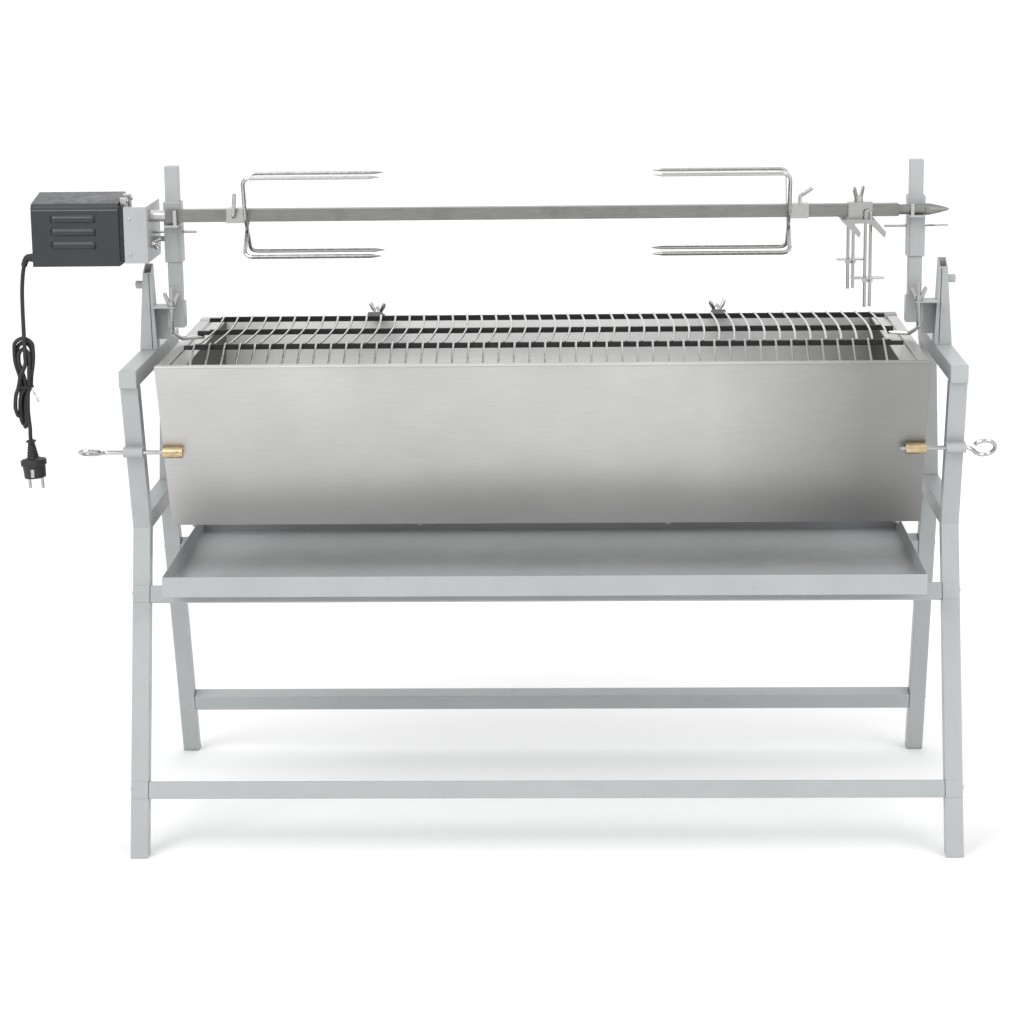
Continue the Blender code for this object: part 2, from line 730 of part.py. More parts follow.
def build_grate_bars():
    build_grate_bar("grate_bar_front", FRONT_BAR_Y)
    build_grate_bar("grate_bar_middle", 0.0)
    rear = build_grate_bar("grate_bar_rear", REAR_BAR_Y)
    lugs = []
    for _, side_sign in SIDES:
        x = side_sign * REAR_NUT_X
        line = [
            (REAR_BAR_Y, GRATE_Z - 0.001),
            (REAR_BAR_Y + 0.067, GRATE_Z - 0.001),
            (0.2360, RIM_Z + 0.0012),
            (0.2500, RIM_Z + 0.0012),
        ]
        lugs.append(add_folded_sheet(f"rear_lug_{side_sign}", line, 0, x - 0.011, x + 0.011, "black_iron", 0.002))
    combine(rear, lugs)


def build_hanger(side, side_sign):
    """Threaded rod through the tab of the upright, its foot turned in under the middle grate bar."""
    foot_z = GRATE_Z - GRATE_BAR / 2 - 0.003 - GAP
    corners = [
        (side_sign * HANGER_X, HANGER_Y, 0.798),
        (side_sign * HANGER_X, HANGER_Y, foot_z + 0.010),
        (side_sign * (HANGER_X - 0.012), HANGER_Y + 0.012, foot_z),
        (side_sign * 0.506, 0.002, foot_z),
    ]
    add_wire(f"grate_hanger_{side}", rounded_path(corners, 0.008, 3), 0.006, "chrome", 8)


def wing_nut(name, centre, bore_radius, size=1.0, turn=0.0, material="chrome"):
    """Two-winged nut about a vertical axis, standing on centre."""
    centre = Vector(centre)
    up = Vector((0, 0, 1))
    hub = cylinder_bmesh(centre, centre + up * 0.008 * size, 0.0065 * size, 12)
    nut = add_object(name, hub, material, centre)
    wings = []
    for sign in (-1, 1):
        outline = [(0.003, 0.001), (0.007, 0.001), (0.0138, 0.017), (0.0125, 0.022), (0.009, 0.0205), (0.003, 0.008)]
        bm = prism_bmesh([(sign * a * size, b * size) for a, b in outline], 1, -0.0013 * size, 0.0013 * size)
        bmesh.ops.rotate(bm, verts=bm.verts, matrix=Matrix.Rotation(turn, 3, "Z"))
        bmesh.ops.translate(bm, verts=bm.verts, vec=centre)
        wings.append(add_object(f"{name}_wing_{sign}", bm, material))
    combine(nut, wings)
    if bore_radius:
        low, high = centre - up * 0.01, centre + up * 0.03
        combine(nut, [add_cylinder(f"{name}_bore", low, high, bore_radius, sides=12)], "DIFFERENCE")
    return nut


def build_hanger_nut(side, side_sign):
    wing_nut(f"hanger_nut_{side}", (side_sign * HANGER_X, HANGER_Y, 0.7685 + GAP), 0.003 + GAP, 0.93, 0.3 * side_sign)


# ---------------------------------------------------------------- spit sleeves and pins
def build_sleeve(side, side_sign):
    """Square sleeve on the post with a saddle in front for the spit."""
    x, half = side_sign * POST_X, SLEEVE / 2
    sleeve = add_box(f"spit_sleeve_{side}", (x - half, -half, SLEEVE_BOTTOM), (x + half, half, SLEEVE_TOP))
    inside = half - SLEEVE_WALL
    bore = add_box(f"sleeve_bore_{side}", (x - inside, -inside, 0.8), (x + inside, inside, 0.95))
    drop = JOURNAL_R + GAP if side_sign > 0 else SPIT_BAR * 0.72
    front = SPIT_Y - drop
    floor_z = SPIT_Z - drop
    x_range = sorted((side_sign * (POST_X - half), side_sign * (POST_X + 0.008)))
    floor = add_box(
        f"saddle_{side}", (x_range[0], front - 0.003, floor_z - 0.003), (x_range[1], -half + 0.001, floor_z)
    )
    keeper_x = side_sign * (POST_X - 0.0085)
    keeper = add_box(
        f"saddle_keeper_{side}",
        (keeper_x - 0.0025, front - 0.003, floor_z - 0.002),
        (keeper_x + 0.0025, front, SPIT_Z + 0.009),
    )
    pin_hole = add_cylinder(
        f"height_pin_hole_{side}",
        (x - 0.03, 0, HEIGHT_PIN_Z),
        (x + 0.03, 0, HEIGHT_PIN_Z),
        HEIGHT_PIN / 2 + GAP,
        sides=12,
    )
    combine(sleeve, [floor, keeper])
    combine(sleeve, [bore, pin_hole], "DIFFERENCE")


def build_height_pin(side, side_sign):
    """Pull pin with a ring at its outer end."""
    if side == "right":
        tip, neck, ring_radius = 0.4990, POST_X + SLEEVE / 2 + 0.004, 0.0145
    else:
        tip, neck, ring_radius = 0.5110, -BRACKET_X + 0.003, 0.0085
    centre_x = neck + 0.001 + ring_radius
    pin = add_cylinder(
        f"height_pin_{side}",
        (side_sign * tip, 0, HEIGHT_PIN_Z),
        (side_sign * neck, 0, HEIGHT_PIN_Z),
        HEIGHT_PIN / 2,
        "chrome",
        10,
    )
    points = []
    for i in range(16):
        angle = 2 * math.pi * i / 16
        around = ring_radius * math.sin(angle)
        points.append((side_sign * (centre_x + ring_radius * math.cos(angle)), around, HEIGHT_PIN_Z - 0.12 * around))
    ring = add_wire(f"pin_ring_{side}", points, 0.003, "chrome", 6, closed=True)
    combine(pin, [ring])


# ---------------------------------------------------------------- spit, forks and clamp
def build_spit():
    """Square bar with a square driving tail, a turned journal and a pointed nose."""
    half = SPIT_BAR / 2
    bar = add_box(
        "spit", (SPIT_LEFT, SPIT_Y - half, SPIT_Z - half), (SPIT_RIGHT, SPIT_Y + half, SPIT_Z + half), "dull_steel"
    )
    tail_half = TAIL / 2
    tail = add_box(
        "spit_tail",
        (SPIT_LEFT - 0.045, SPIT_Y - tail_half, SPIT_Z - tail_half),
        (SPIT_LEFT + 0.01, SPIT_Y + tail_half, SPIT_Z + tail_half),
    )
    profile = [
        (SPIT_RIGHT - 0.010, 0),
        (SPIT_RIGHT - 0.010, JOURNAL_R),
        (0.5540, JOURNAL_R),
        (0.5550, 0.0086),
        (0.5600, 0.0086),
        (0.5760, 0.0052),
        (0.5885, 0.0016),
        (0.5895, 0),
    ]
    nose = add_object("spit_nose", lathe_bmesh(profile, 20), "dull_steel")
    combine(bar, [tail, nose])


def build_fork(side, side_sign):
    """Four tines: two crossed U-shaped wires welded to the end of a square collar."""
    collar_low = FORK_X[side]
    collar_range = sorted((collar_low, collar_low + side_sign * FORK_COLLAR))
    half = 0.0108
    collar = add_box(
        f"fork_{side}",
        (collar_range[0], SPIT_Y - half, SPIT_Z - half),
        (collar_range[1], SPIT_Y + half, SPIT_Z + half),
        "dull_steel",
    )
    back_x = collar_low - side_sign * 0.0006
    tip_x = back_x - side_sign * TINE_LENGTH
    wires = []
    for cross in (-1, 1):
        # The crossed wires are bent round the bar, one on each side of it.
        corner = Vector((0, cross * TINE_Y, TINE_Z))
        bypass = Vector((0, cross * 0.0138, -0.0070))
        centre = Vector((back_x, SPIT_Y, SPIT_Z))
        corners = [
            centre + corner + Vector((tip_x - back_x, 0, 0)),
            centre + corner,
            centre + bypass,
            centre - corner,
            centre - corner + Vector((tip_x - back_x, 0, 0)),
        ]
        bm = bmesh.new()
        point = Vector((side_sign * TINE_POINT, 0, 0))
        path = [corners[0] - point, *rounded_path(corners, 0.010, 3), corners[-1] - point]
        sweep(bm, path, TINE_WIRE / 2, 8, end_radius=TINE_WIRE / 8)
        wires.append(add_object(f"fork_wire_{side}_{cross}", bm, "chrome"))
    combine(collar, wires)
    half_bore = COLLAR_BORE / 2
    bore = add_box(
        f"fork_bore_{side}",
        (min(back_x, collar_range[0]) - 0.02, SPIT_Y - half_bore, SPIT_Z - half_bore),
        (max(back_x, collar_range[1]) + 0.02, SPIT_Y + half_bore, SPIT_Z + half_bore),
    )
    centre_x = collar_low + side_sign * 0.016
    outward = Vector((0, -1, 0)) if side == "left" else Vector((0, 0, 1))
    start = Vector((centre_x, SPIT_Y, SPIT_Z)) + outward * 0.005
    screw_hole = add_cylinder(f"fork_screw_hole_{side}", start, start + outward * 0.02, FORK_SCREW / 2 + GAP, sides=12)
    combine(collar, [bore, screw_hole], "DIFFERENCE")


def build_fork_screw(side, side_sign):
    """Bent thumb screw through the collar."""
    centre = Vector((FORK_X[side] + side_sign * 0.016, SPIT_Y, SPIT_Z))
    if side == "left":
        outward, handle = Vector((0, -1, 0)), Vector((0.08, 0, 1)).normalized()
        length = 0.034
        knee = 0.026
    else:
        outward, handle = Vector((0, 0, 1)), Vector((0.85, 0, 0.55)).normalized()
        length = 0.021
        knee = 0.0205
    corners = [
        centre + outward * (SPIT_BAR / 2 + 2 * GAP),
        centre + outward * knee,
        centre + outward * knee + handle * length,
    ]
    add_wire(f"fork_screw_{side}", rounded_path(corners, 0.0045, 3), FORK_SCREW, "zinc", 8, origin=centre)


def build_clamp():
    """Square collar on the spit with splayed feet, for the two U-bolts that grip the roast."""
    half = 0.0120
    low, high = CLAMP_X
    collar = add_box(
        "clamp_collar", (low, SPIT_Y - half, SPIT_Z - half), (high, SPIT_Y + half, SPIT_Z + half), "chrome"
    )
    z = SPIT_Z - half
    plate = add_box("clamp_plate", (low, SPIT_Y - 0.028, z - 0.0052), (high, SPIT_Y + 0.028, z + 0.0005), "zinc")
    feet = []
    for i, foot_x in enumerate((low - 0.013, high - 0.0115)):
        outline = [
            (foot_x, z + 0.0005),
            (foot_x + 0.014, z + 0.0005),
            (foot_x + 0.030, z - 0.018),
            (foot_x + 0.028, z - 0.026),
        ]
        for j, y in enumerate((SPIT_Y - 0.028, SPIT_Y + 0.026)):
            feet.append(add_object(f"clamp_foot_{i}_{j}", prism_bmesh(outline, 1, y, y + 0.002), "zinc"))
    half_bore = COLLAR_BORE / 2
    bore = add_box(
        "clamp_bore",
        (low - 0.02, SPIT_Y - half_bore, SPIT_Z - half_bore),
        (high + 0.02, SPIT_Y + half_bore, SPIT_Z + half_bore),
    )
    screw_x = (low + high) / 2 - 0.002
    screw_hole = add_cylinder(
        "clamp_screw_hole", (screw_x, SPIT_Y, SPIT_Z), (screw_x, SPIT_Y, SPIT_Z + 0.02), 0.003 + GAP, sides=12
    )
    holes = [
        add_cylinder(
            f"leg_hole_{name}_{sign}",
            (x + sign * U_SPREAD_X, y + sign * U_SPREAD_Y, z + 0.01),
            (x + sign * U_SPREAD_X, y + sign * U_SPREAD_Y, z - 0.01),
            U_WIRE / 2 + 0.0004,
            sides=12,
        )
        for name, x, y, *_ in U_BOLTS
        for sign in (-1, 1)
    ]
    combine(collar, [plate, *feet])
    combine(collar, [bore, screw_hole, *holes], "DIFFERENCE")
    shank_top = (screw_x, SPIT_Y, SPIT_Z + half + 0.003)
    screw = wing_nut("clamp_screw", (screw_x, SPIT_Y, SPIT_Z + half + GAP), 0, 1.0, 0.9, "zinc")
    shank = add_cylinder("clamp_shank", (screw_x, SPIT_Y, SPIT_Z + SPIT_BAR / 2 + 2 * GAP), shank_top, 0.003, sides=10)
    combine(screw, [shank])


def build_u_bolt(name, x, y, bottom_z, plate_z, plate_half):
    """A U-bolt hooked over the clamp's plate, legs down, with its cross plate and nuts."""
    top = Vector((x, y, SPIT_Z - 0.0040))
    spread = Vector((U_SPREAD_X, U_SPREAD_Y, 0))
    arc = []
    for i in range(7):
        angle = math.pi * i / 6
        arc.append(top + spread * math.cos(angle) + Vector((0, 0, U_BEND * math.sin(angle))))
    path = [Vector((arc[0].x, arc[0].y, bottom_z)), *arc, Vector((arc[-1].x, arc[-1].y, bottom_z))]
    add_wire(f"u_bolt_{name}", path, U_WIRE, "chrome", 8)

    low = (x - plate_half, y - 0.010, plate_z - 0.001)
    high = (x + plate_half, y + 0.010, plate_z + 0.001)
    plate = add_box(f"u_bolt_plate_{name}", low, high, "zinc")
    nuts, bores = [], []
    for sign in (-1, 1):
        leg = (x + sign * spread.x, y + sign * spread.y)
        nut = cylinder_bmesh((*leg, plate_z - 0.0060), (*leg, plate_z - 0.0005), 0.0046, 6)
        nuts.append(add_object(f"plate_nut_{name}_{sign}", nut, "zinc"))
        bores.append(
            add_cylinder(f"plate_bore_{name}_{sign}", (*leg, plate_z - 0.02), (*leg, plate_z + 0.02), U_WIRE / 2 + GAP)
        )
    combine(plate, nuts)
    combine(plate, bores, "DIFFERENCE")


# ---------------------------------------------------------------- motor
def motor_outline(inset):
    """Side view of the motor's cover: rounded at the top front, its top rising to the back."""
    front, back = MOTOR_FRONT + inset, MOTOR_BACK - inset
    bottom, top = MOTOR_BOTTOM + inset, MOTOR_TOP - inset
    radius = 0.009 - inset
    points = [(front, bottom)]
    for i in range(5):
        angle = math.radians(180 - 20 * i)
        points.append((front + radius + radius * math.cos(angle), top - radius + radius * math.sin(angle)))
    points += [(back, top + 0.010), (back, bottom)]
    return points


def build_motor_case():
    cover = add_object("motor_cover", prism_bmesh(motor_outline(0), 0, MOTOR_LEFT, MOTOR_RIGHT), "motor_paint")
    inside = add_object(
        "cover_inside", prism_bmesh(motor_outline(0.0012), 0, MOTOR_LEFT + 0.0012, MOTOR_RIGHT + 0.01), "motor_paint"
    )
    gland_y, gland_z = CORD_EXIT[1:]
    gland = add_cylinder(
        "cord_gland", (MOTOR_LEFT - GLAND, gland_y, gland_z), (MOTOR_LEFT + 0.004, gland_y, gland_z), 0.0065
    )
    combine(cover, [inside], "DIFFERENCE")
    combine(cover, [gland])

    plate_range = (MOTOR_RIGHT - 0.004, MOTOR_RIGHT - 0.002)
    plate = add_object("motor_end_plate", prism_bmesh(motor_outline(0.0012 + GAP), 0, *plate_range), "motor_black")
    rim = add_cylinder(
        "output_bearing", (plate_range[0] + 0.001, SPIT_Y, SPIT_Z), (BRACKET_LEFT - GAP, SPIT_Y, SPIT_Z), 0.0125, sides=20
    )
    shaft_hole = add_cylinder(
        "output_hole", (MOTOR_RIGHT - 0.02, SPIT_Y, SPIT_Z), (MOTOR_RIGHT + 0.02, SPIT_Y, SPIT_Z), SOCKET_R + GAP, sides=24
    )
    combine(plate, [rim])
    combine(plate, [shaft_hole], "DIFFERENCE")


def build_motor_bracket():
    """Channel between the motor's end and the left sleeve, with the bolt that clamps it to the sleeve."""
    left, right = BRACKET_LEFT, BRACKET_X
    bottom, top = MOTOR_BOTTOM + 0.004, MOTOR_TOP - 0.006
    front = MOTOR_FRONT - 0.001
    line = [(right, 0.062), (right, front), (left, front), (left, 0.008)]
    bracket = add_folded_sheet("motor_bracket", line, 2, bottom, top, "frame_paint", -0.002)
    bolt = add_cylinder(
        "bracket_bolt", (right - 0.008, 0.0, 0.866), (-POST_X - SLEEVE / 2 - GAP, 0.0, 0.866), 0.004, sides=12
    )
    combine(bracket, [bolt])
    ends = left - 0.01, right + 0.01
    through = [
        add_cylinder(
            f"bracket_hole_{i}", (ends[0], y, z), (ends[1], y, z), radius, sides=24
        )
        for i, (y, z, radius) in enumerate(((SPIT_Y, SPIT_Z, SOCKET_R + 0.001), (0, HEIGHT_PIN_Z, HEIGHT_PIN / 2 + GAP)))
    ]
    combine(bracket, through, "DIFFERENCE")


def build_stator():
    """Laminated stator with a round bore for the rotor."""
    y, z = ROTOR_AXIS
    low, high = (STATOR_X[0], y - 0.019, z - 0.019), (STATOR_X[1], y + 0.019, z + 0.013)
    stator = add_box("motor_stator", low, high, "zinc")
    for i, x in enumerate((STATOR_X[0], STATOR_X[1])):
        coil = add_box(f"stator_coil_{i}", (x - 0.004, y - 0.017, z - 0.017), (x + 0.004, y + 0.017, z + 0.011))
        combine(stator, [coil])
    bore = add_cylinder("stator_bore", (STATOR_X[0] - 0.02, y, z), (STATOR_X[1] + 0.02, y, z), 0.0095, sides=24)
    combine(stator, [bore], "DIFFERENCE")


def build_rotor():
    """Rotor, shaft and driving pinion in one piece."""
    y, z = ROTOR_AXIS
    origin = (STATOR_X[0], y, z)
    low_x, high_x = GEAR_X
    phase = math.pi / 2 + math.pi / PINION_TEETH
    pinion = prism_bmesh(gear_outline(PINION_TEETH, ROTOR_AXIS, phase), 0, low_x, high_x)
    rotor = add_object("motor_rotor", pinion, "dull_steel", origin)
    core = add_cylinder("rotor_core", (STATOR_X[0] - 0.003, y, z), (STATOR_X[1] + 0.003, y, z), 0.0085, sides=20)
    shaft = add_cylinder("rotor_shaft", (STATOR_X[0] - 0.010, y, z), (low_x + 0.001, y, z), 0.0025, sides=12)
    combine(rotor, [core, shaft])


def build_output_socket():
    """Output wheel with the tubular socket that drives the spit's square tail."""
    wheel = prism_bmesh(gear_outline(GEAR_TEETH, (SPIT_Y, SPIT_Z), -math.pi / 2), 0, *GEAR_X)
    origin = (SPIT_LEFT, SPIT_Y, SPIT_Z)
    output = add_object("output_socket", wheel, "zinc", origin)
    tube = add_cylinder(
        "socket_tube", (GEAR_X[1] - 0.001, SPIT_Y, SPIT_Z), (SPIT_LEFT - GAP, SPIT_Y, SPIT_Z), SOCKET_R, sides=24
    )
    half = TAIL / 2 + GAP
    bore = add_box(
        "socket_square",
        (SPIT_LEFT - 0.046, SPIT_Y - half, SPIT_Z - half),
        (SPIT_LEFT + 0.01, SPIT_Y + half, SPIT_Z + half),
    )
    combine(output, [tube])
    combine(output, [bore], "DIFFERENCE")


# ---------------------------------------------------------------- mains lead
def smooth_path(route, count):
    """Points on a Catmull-Rom curve through the route's own points."""
    route = [Vector(point) for point in route]
    ends = [2 * route[0] - route[1], *route, 2 * route[-1] - route[-2]]
    spans = len(route) - 1
    points = []
    for i in range(count):
        place = min(i * spans / (count - 1), spans - 1e-9)
        k, t = int(place), place - int(place)
        p0, p1, p2, p3 = ends[k : k + 4]
        points.append(
            0.5
            * (
                2 * p1
                + (p2 - p0) * t
                + (2 * p0 - 5 * p1 + 4 * p2 - p3) * t**2
                + (3 * p1 - p0 - 3 * p2 + p3) * t**3
            )
        )
    return points


def add_cord(name, points):
    curve = bpy.data.curves.new(name, "CURVE")
    curve.dimensions = "3D"
    curve.bevel_depth = CORD_DIAMETER / 2
    curve.bevel_resolution = 3
    curve.use_fill_caps = True
    spline = curve.splines.new("POLY")
    spline.points.add(len(points) - 1)
    for target, point in zip(spline.points, points):
        target.co = (*point, 1)
    curve.materials.append(MATERIALS["rubber_black"])
    obj = bpy.data.objects.new(name, curve)
    obj.parent = STAND
    bpy.context.scene.collection.objects.link(obj)


def build_lead():
    """The lead hangs from the motor in a tied hank, its tail ending in the plug."""
    exit_x, exit_y, exit_z = CORD_EXIT
    start = (exit_x - GAP, exit_y, exit_z)
    route = [
        start,
        (exit_x - 0.010, exit_y, exit_z - 0.003),
        (HANK_X + 0.0045, exit_y, exit_z - 0.030),
        (HANK_X + 0.0025, exit_y, exit_z - 0.075),
        (HANK_X, exit_y, HANK_TOP + GAP),
    ]
    add_cord("lead", smooth_path(route, 12))

    half_width, half_depth = HANK_WIDTH / 2, HANK_DEPTH / 2
    middle_z = (HANK_TOP + HANK_BOTTOM) / 2
    straight = (HANK_TOP - HANK_BOTTOM) / 2 - half_width
    outline = []
    for end in (1, -1):
        for i in range(9):
            angle = math.pi * i / 8 + (0 if end > 0 else math.pi)
            outline.append(
                (HANK_X + half_width * math.cos(angle), middle_z + end * straight + half_width * math.sin(angle))
            )
    hank = prism_bmesh(outline, 1, exit_y - half_depth, exit_y + half_depth)
    add_object("lead_hank", hank, "rubber_black")

    tail = [
        (PLUG_X - 0.0025, exit_y, HANK_BOTTOM - 3 * GAP),
        (PLUG_X - 0.0010, exit_y, (HANK_BOTTOM + PLUG_TOP) / 2),
        (PLUG_X, exit_y, PLUG_TOP + 3 * GAP),
    ]
    add_cord("lead_tail", smooth_path(tail, 5))
    build_plug(Vector((PLUG_X, exit_y, PLUG_TOP)))


def build_plug(top):
    """Round two-pin plug, pins down, with a tapered strain relief."""
    def level(depth):
        return top - Vector((0, 0, depth))

    body = add_object("mains_plug", cylinder_bmesh(level(0.026), level(0.057), 0.0150, 20, 0.0170), "rubber_black")
    relief = add_object(
        "plug_relief", cylinder_bmesh(level(0.0), level(0.027), 0.0050, 12, 0.0085), "rubber_black"
    )
    flange = add_object("plug_flange", cylinder_bmesh(level(0.030), level(0.037), 0.0190, 20), "rubber_black")
    pins = [
        add_cylinder(
            f"plug_pin_{sign}",
            level(0.055) + Vector((sign * 0.0095, 0, 0)),
            level(0.0735) + Vector((sign * 0.0095, 0, 0)),
            0.0024,
            "chrome",
            10,
        )
        for sign in (-1, 1)
    ]
    combine(body, [relief, flange, *pins])


# ---------------------------------------------------------------- assembly
def build_stand():
    for side, side_sign in SIDES:
        for end, end_sign in (("front", -1), ("rear", 1)):
            build_leg(end, end_sign, side, side_sign)
        build_shoulder_tube(side, side_sign)
        build_waist_tube(side, side_sign)
        build_upright(side, side_sign)
        build_post(side, side_sign)
    for end, end_sign in (("front", -1), ("rear", 1)):
        build_cross_bar(f"{end}_lower_bar", end_sign, LOWER_BAR_Z)
        build_cross_bar(f"{end}_upper_bar", end_sign, UPPER_BAR_Z)


def build_hearth():
    build_trough()
    for side, side_sign in SIDES:
        build_trough_end(side, side_sign)
        build_bush(side, side_sign)
        build_eye_pin(side, side_sign)
        build_hanger(side, side_sign)
        build_hanger_nut(side, side_sign)
    build_tray()
    build_grate_bars()
    build_grates()


def build_rotisserie():
    for side, side_sign in SIDES:
        build_sleeve(side, side_sign)
        build_height_pin(side, side_sign)
        build_fork(side, side_sign)
        build_fork_screw(side, side_sign)
    build_spit()
    build_clamp()
    for bolt in U_BOLTS:
        build_u_bolt(*bolt)


def build_motor():
    build_motor_case()
    build_motor_bracket()
    build_stator()
    build_rotor()
    build_output_socket()
    build_lead()


build_stand()
build_hearth()
build_rotisserie()
build_motor()
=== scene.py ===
"""Looks of the charcoal spit roaster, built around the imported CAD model. Metres, +Z up, -Y to the cook."""

import json
import math

import bmesh
import bpy
from mathutils import Matrix, Vector

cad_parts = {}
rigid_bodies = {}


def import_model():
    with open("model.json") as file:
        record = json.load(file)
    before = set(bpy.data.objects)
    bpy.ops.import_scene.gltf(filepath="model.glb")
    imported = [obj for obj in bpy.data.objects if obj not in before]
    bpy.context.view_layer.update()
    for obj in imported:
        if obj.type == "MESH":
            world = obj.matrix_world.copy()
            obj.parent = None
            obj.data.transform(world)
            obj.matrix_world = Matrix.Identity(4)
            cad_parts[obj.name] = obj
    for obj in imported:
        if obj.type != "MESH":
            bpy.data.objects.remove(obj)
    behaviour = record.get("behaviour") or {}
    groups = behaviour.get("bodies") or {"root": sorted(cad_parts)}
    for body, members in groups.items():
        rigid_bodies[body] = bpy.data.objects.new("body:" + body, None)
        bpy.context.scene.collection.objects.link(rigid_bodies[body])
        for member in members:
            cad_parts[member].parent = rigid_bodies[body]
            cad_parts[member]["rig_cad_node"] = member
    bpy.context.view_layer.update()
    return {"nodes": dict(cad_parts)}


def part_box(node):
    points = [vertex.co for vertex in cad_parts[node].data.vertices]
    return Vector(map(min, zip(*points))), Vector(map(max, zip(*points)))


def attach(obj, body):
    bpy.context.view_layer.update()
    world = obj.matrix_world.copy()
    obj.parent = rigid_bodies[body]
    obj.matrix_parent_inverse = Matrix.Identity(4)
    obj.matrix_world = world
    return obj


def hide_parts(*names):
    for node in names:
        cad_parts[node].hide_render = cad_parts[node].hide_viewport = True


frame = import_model()
NODES = frame["nodes"]

SIDES = (("left", -1), ("right", 1))
AXES = ((1, 0, 0), (0, 1, 0), (0, 0, 1))
# The middle of the stand in the CAD's frame.
STAND_X = sum(corner.x for side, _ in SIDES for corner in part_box(f"shoulder_tube_{side}")) / 4
# The end walls' inner faces, from the middle of the stand: the floor ends just short of them.
END_WALL_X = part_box("trough_floor")[1].x - STAND_X + 0.0016

# ---------------------------------------------------------------- camera
CAMERA_AT = (0.084, -4.049, 1.3392)         # from the middle of the stand
PITCH_DOWN, YAW_LEFT, ROLL = math.radians(12.38), math.radians(1.907), math.radians(-0.708)
LENS_MM = 97.03


def make_camera():
    """Looks at the front of the roaster from a little above, as the photographer did."""
    level = math.cos(PITCH_DOWN)
    forward = Vector((-math.sin(YAW_LEFT) * level, math.cos(YAW_LEFT) * level, -math.sin(PITCH_DOWN)))
    level_right = Vector((math.cos(YAW_LEFT), math.sin(YAW_LEFT), 0))
    level_up = level_right.cross(forward)
    right = math.cos(ROLL) * level_right + math.sin(ROLL) * level_up
    up = -math.sin(ROLL) * level_right + math.cos(ROLL) * level_up
    data = bpy.data.cameras.new("camera")
    data.lens = LENS_MM
    data.sensor_width = 36
    data.clip_end = 30
    camera = bpy.data.objects.new("camera", data)
    rotation = Matrix((right, up, -forward)).transposed().to_4x4()
    camera.matrix_world = Matrix.Translation(Vector(CAMERA_AT) + Vector((STAND_X, 0, 0))) @ rotation
    bpy.context.scene.collection.objects.link(camera)
    bpy.context.scene.camera = camera


make_camera()


# ---------------------------------------------------------------- mesh helpers
def add_piece(name, bm, material, body, smooth_angle=35):
    """Makes an object of a bmesh and lets it ride on a CAD body."""
    bmesh.ops.recalc_face_normals(bm, faces=bm.faces)
    mesh = bpy.data.meshes.new(name)
    bm.to_mesh(mesh)
    bm.free()
    mesh.materials.append(MATERIALS[material])
    mesh.shade_smooth()
    mesh.set_sharp_from_angle(angle=math.radians(smooth_angle))
    obj = bpy.data.objects.new(name, mesh)
    bpy.context.scene.collection.objects.link(obj)
    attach(obj, body)
    return obj


def bevelled(obj, width, segments=2):
    """Rounds an object's edges. A CAD node's split corners are welded first."""
    if "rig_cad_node" in obj:
        weld = obj.modifiers.new("weld", "WELD")
        weld.merge_threshold = 0.00002
    bevel = obj.modifiers.new("bevel", "BEVEL")
    bevel.width = width
    bevel.segments = segments
    bevel.limit_method = "ANGLE"
    bevel.angle_limit = math.radians(38)
    bevel.use_clamp_overlap = True
    bevel.harden_normals = True
    return obj


def ring(bm, centre, axis, radius, sides, side=None):
    """A circle of new vertices about an axis, the first of them toward side."""
    axis = Vector(axis).normalized()
    side = axis.orthogonal().normalized() if side is None else (side - axis * side.dot(axis)).normalized()
    across = axis.cross(side)
    angles = [2 * math.pi * i / sides for i in range(sides)]
    arms = [side * math.cos(angle) + across * math.sin(angle) for angle in angles]
    return [bm.verts.new(Vector(centre) + radius * arm) for arm in arms]


def bridge(bm, rings):
    """Faces between each ring and the next."""
    for first, second in zip(rings, rings[1:]):
        for i in range(len(first)):
            j = (i + 1) % len(first)
            bm.faces.new((first[i], first[j], second[j], second[i]))


def lathe(bm, base, axis, profile, sides=32):
    """A turned solid: (distance along the axis, radius) pairs from base, closed by flat ends."""
    base, axis = Vector(base), Vector(axis).normalized()
    side = axis.orthogonal().normalized()
    rings = [ring(bm, base + axis * along, axis, max(radius, 1e-5), sides, side) for along, radius in profile]
    bridge(bm, rings)
    bm.faces.new(rings[0])
    bm.faces.new(rings[-1])


def sweep(bm, points, radii, sides=16):
    """A round tube along points, with a radius for each."""
    points = [Vector(point) for point in points]
    side = (points[1] - points[0]).orthogonal().normalized()
    rings = []
    for i, (point, radius) in enumerate(zip(points, radii)):
        tangent = points[min(i + 1, len(points) - 1)] - points[max(i - 1, 0)]
        rings.append(ring(bm, point, tangent, radius, sides, side))
        side = (side - tangent.normalized() * side.dot(tangent.normalized())).normalized()
    bridge(bm, rings)
    bm.faces.new(rings[0])
    bm.faces.new(rings[-1])


def slab(bm, centre, axes, sizes):
    """A box with its own axes."""
    matrix = Matrix([Vector(axis) * size for axis, size in zip(axes, sizes)]).transposed().to_4x4()
    bmesh.ops.create_cube(bm, size=1, matrix=Matrix.Translation(Vector(centre)) @ matrix)


